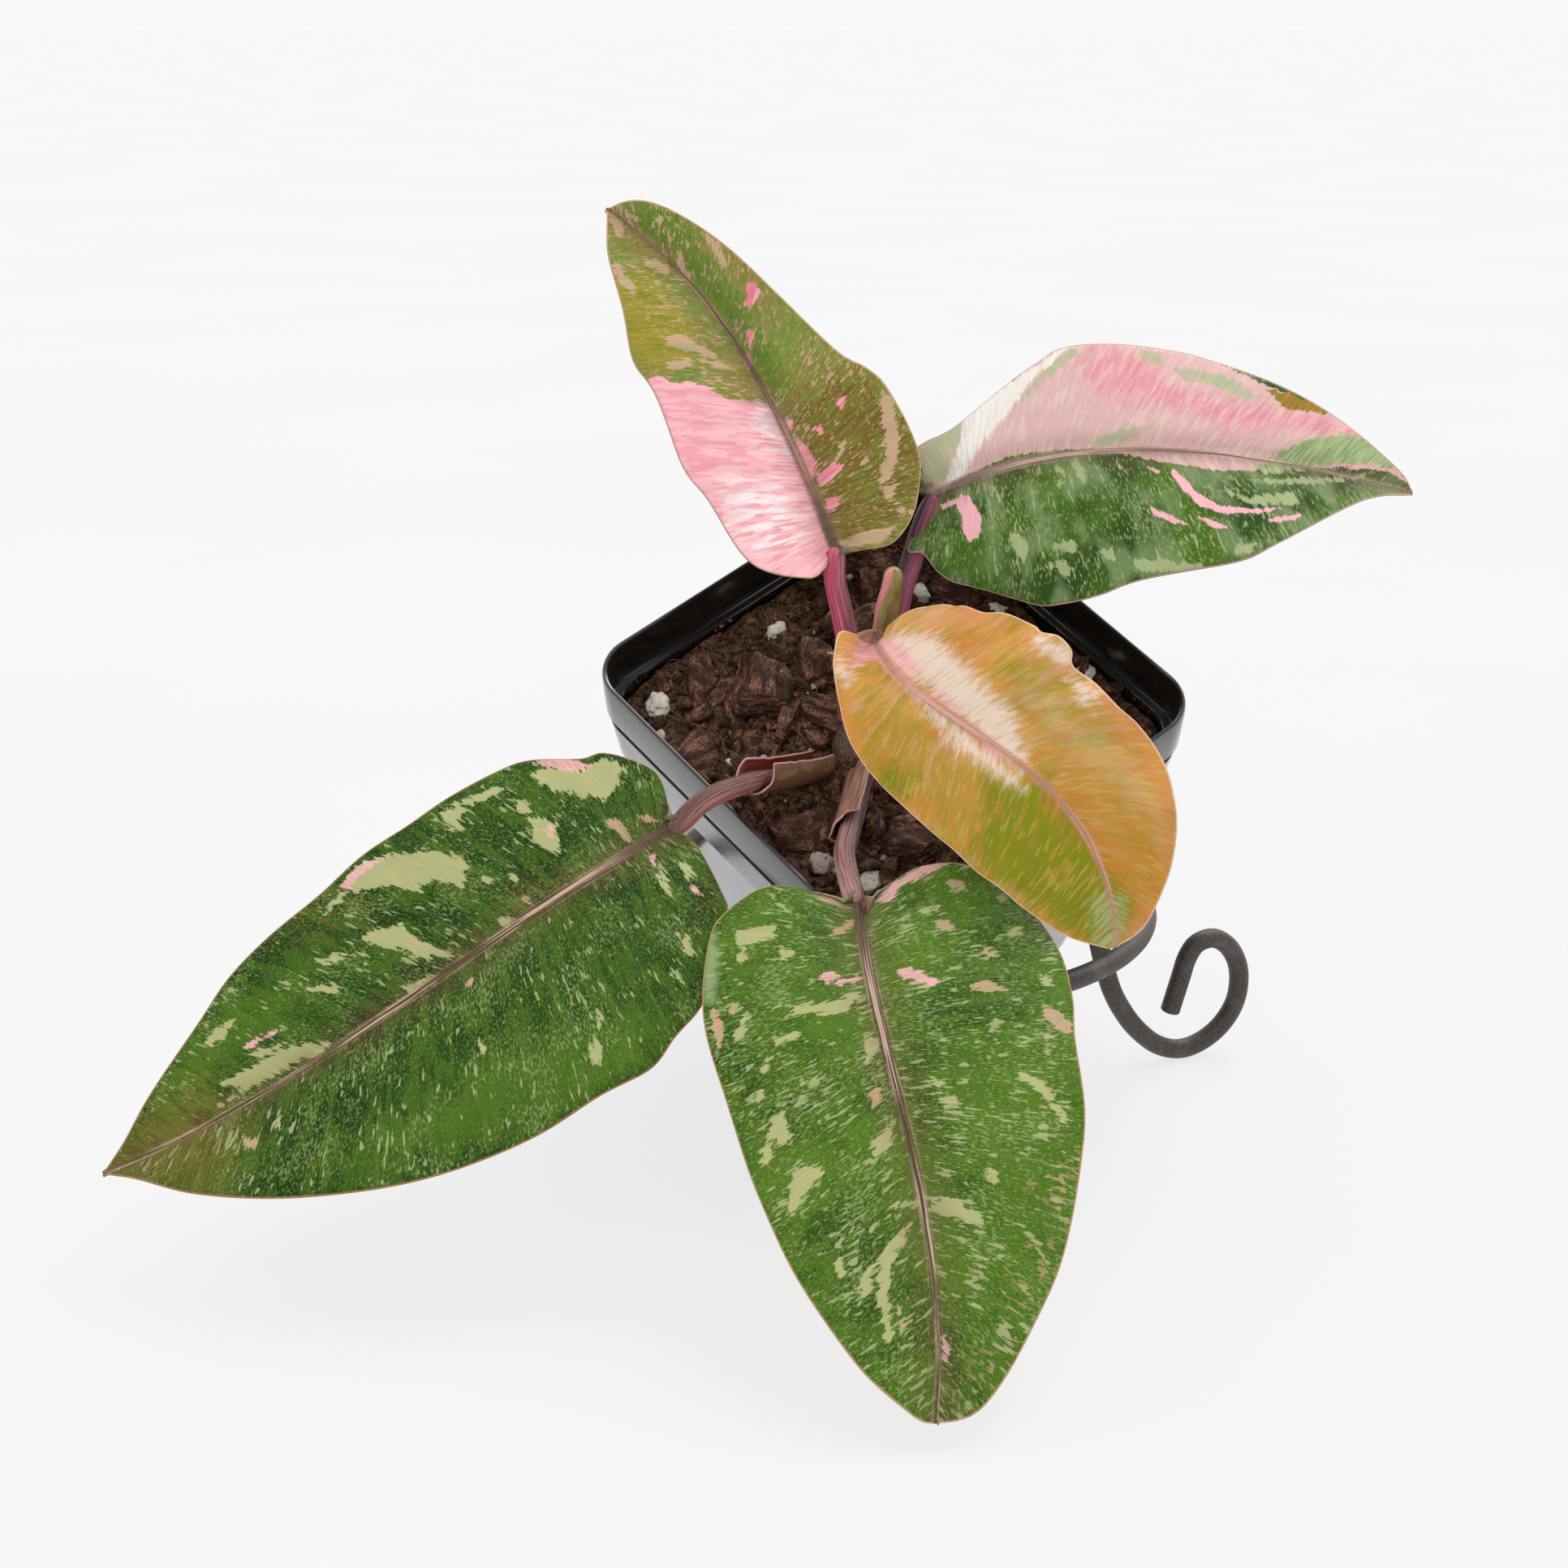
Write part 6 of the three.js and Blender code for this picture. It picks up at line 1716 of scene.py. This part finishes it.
def build_stage():
    # Opal acrylic lit from below, as on a product table: pale and even, with faint shadows
    skin, tree = new_skin(
        "opal_acrylic_lit_from_below", Roughness=0.6, Specular_IOR_Level=0,
        Emission_Color=(1, 1, 1, 1), Emission_Strength=0.76,
    )
    clouds = mottle(tree, millimetres(tree), (300, 300, 300), 1, 2)
    dress(tree, laid(tree, tint("floor"), linear("#646464"), clouds, 0.3, 0.7))
    floor_mesh = bpy.data.meshes.new("studio_floor")
    square = ((-1, -1), (1, -1), (1, 1), (-1, 1))
    corners = [(x * FLOOR_REACH, y * FLOOR_REACH, 0) for x, y in square]
    floor_mesh.from_pydata(corners, [], [(0, 1, 2, 3)])
    floor_mesh.materials.append(skin)
    floor = bpy.data.objects.new("studio_floor", floor_mesh)
    bpy.context.scene.collection.objects.link(floor)
    # The studio is pale above and behind the plant, and greyer in front of it
    world = bpy.data.worlds.new("soft_studio")
    world.use_nodes = True
    sky, tree = world.node_tree.nodes["Background"], world.node_tree
    heading = add(tree, "TexCoord", {}, "Generated")
    depth = add(tree, "SeparateXYZ", {0: heading}, 1)
    glow = add(tree, "MapRange", {0: depth, 1: -0.9, 2: 0.6, 3: 0.58, 4: 0.95}, **SMOOTHLY)
    tree.links.new(glow, sky.inputs["Strength"])
    sky.inputs["Color"].default_value = (1, 1, 1, 1)
    bpy.context.scene.world = world
    for name, (turn, power, width) in LAMPS.items():
        lamp = bpy.data.lights.new(name, "SUN")
        lamp.energy, lamp.angle = power, math.radians(width)
        light = bpy.data.objects.new(name, lamp)
        light.rotation_euler = [math.radians(angle) for angle in turn]
        bpy.context.scene.collection.objects.link(light)
    lens = bpy.data.cameras.new("camera")
    lens.lens = CAMERA_LENS
    camera = bpy.data.objects.new("camera", lens)
    camera.location = np.array(CAMERA_PLACE) / 1000 + ORIGIN
    camera.rotation_euler = (CAMERA_TILT, 0, 0)
    bpy.context.scene.collection.objects.link(camera)
    bpy.context.scene.camera = camera
    bpy.context.scene.view_settings.view_transform = "Standard"


# Tools
class PLANT_OT_pot(bpy.types.Operator):
    """Builds the square nursery pot"""

    bl_idname = "plant.pot"
    bl_label = "Nursery Pot"

    def execute(self, context):
        build_pot()
        return {"FINISHED"}


class PLANT_OT_mix(bpy.types.Operator):
    """Builds the potting mix with its crumbs and fibres"""

    bl_idname = "plant.mix"
    bl_label = "Potting Mix"

    def execute(self, context):
        build_mix()
        build_crumbs()
        build_ledge_crumbs()
        build_fibres()
        return {"FINISHED"}


class PLANT_OT_bark(bpy.types.Operator):
    """Builds the chips of pine bark"""

    bl_idname = "plant.bark"
    bl_label = "Bark Chips"

    def execute(self, context):
        build_bark()
        return {"FINISHED"}


class PLANT_OT_perlite(bpy.types.Operator):
    """Builds the white perlite grains"""

    bl_idname = "plant.perlite"
    bl_label = "Perlite"

    def execute(self, context):
        build_perlite()
        return {"FINISHED"}


class PLANT_OT_stalks(bpy.types.Operator):
    """Builds the stem and the leaf stalks"""

    bl_idname = "plant.stalks"
    bl_label = "Stem and Stalks"

    def execute(self, context):
        build_crown()
        build_stalks()
        return {"FINISHED"}


class PLANT_OT_sheaths(bpy.types.Operator):
    """Builds the papery sheaths that wrap the stalks"""

    bl_idname = "plant.sheaths"
    bl_label = "Leaf Sheaths"

    def execute(self, context):
        build_sheaths()
        return {"FINISHED"}


class PLANT_OT_new_leaf(bpy.types.Operator):
    """Builds the young leaf that is still rolled up"""

    bl_idname = "plant.new_leaf"
    bl_label = "Young Leaf"

    def execute(self, context):
        build_new_leaf()
        return {"FINISHED"}


class PLANT_OT_blades(bpy.types.Operator):
    """Builds the five variegated leaf blades"""

    bl_idname = "plant.blades"
    bl_label = "Leaf Blades"

    def execute(self, context):
        build_blades()
        return {"FINISHED"}


class PLANT_OT_stand(bpy.types.Operator):
    """Builds the wire ring and its scrolled legs"""

    bl_idname = "plant.stand"
    bl_label = "Wire Stand"

    def execute(self, context):
        build_stand()
        return {"FINISHED"}


class PLANT_OT_stage(bpy.types.Operator):
    """Sets the pale floor, the soft lights and the camera"""

    bl_idname = "plant.stage"
    bl_label = "Studio Stage"

    def execute(self, context):
        build_stage()
        return {"FINISHED"}


OPERATORS = (
    PLANT_OT_stage, PLANT_OT_pot, PLANT_OT_mix, PLANT_OT_bark, PLANT_OT_perlite,
    PLANT_OT_stalks, PLANT_OT_sheaths, PLANT_OT_new_leaf, PLANT_OT_blades, PLANT_OT_stand,
)


class PLANT_PT_panel(bpy.types.Panel):
    """Lists the pieces of the potted plant"""

    bl_idname = "PLANT_PT_panel"
    bl_label = "Potted Philodendron"
    bl_space_type = "VIEW_3D"
    bl_region_type = "UI"
    bl_category = "Plant"

    def draw(self, context):
        for operator in OPERATORS:
            self.layout.operator(operator.bl_idname)
        for group in (context.scene.plant_sizes, context.scene.plant_colours):
            box = self.layout.box()
            for value in group.bl_rna.properties:
                if value.identifier not in {"rna_type", "name"}:
                    box.prop(group, value.identifier)


CLASSES = (PlantSizes, PlantColours, *OPERATORS, PLANT_PT_panel)


def register():
    for made in CLASSES:
        bpy.utils.register_class(made)
    bpy.types.Scene.plant_sizes = bpy.props.PointerProperty(type=PlantSizes)
    bpy.types.Scene.plant_colours = bpy.props.PointerProperty(type=PlantColours)


def unregister():
    del bpy.types.Scene.plant_colours
    del bpy.types.Scene.plant_sizes
    for made in reversed(CLASSES):
        bpy.utils.unregister_class(made)


def main():
    register()
    bpy.ops.plant.stage()
    bpy.ops.plant.pot()
    bpy.ops.plant.mix()
    bpy.ops.plant.bark()
    bpy.ops.plant.perlite()
    bpy.ops.plant.stalks()
    bpy.ops.plant.sheaths()
    bpy.ops.plant.new_leaf()
    bpy.ops.plant.blades()
    bpy.ops.plant.stand()


if __name__ == "__main__":
    main()
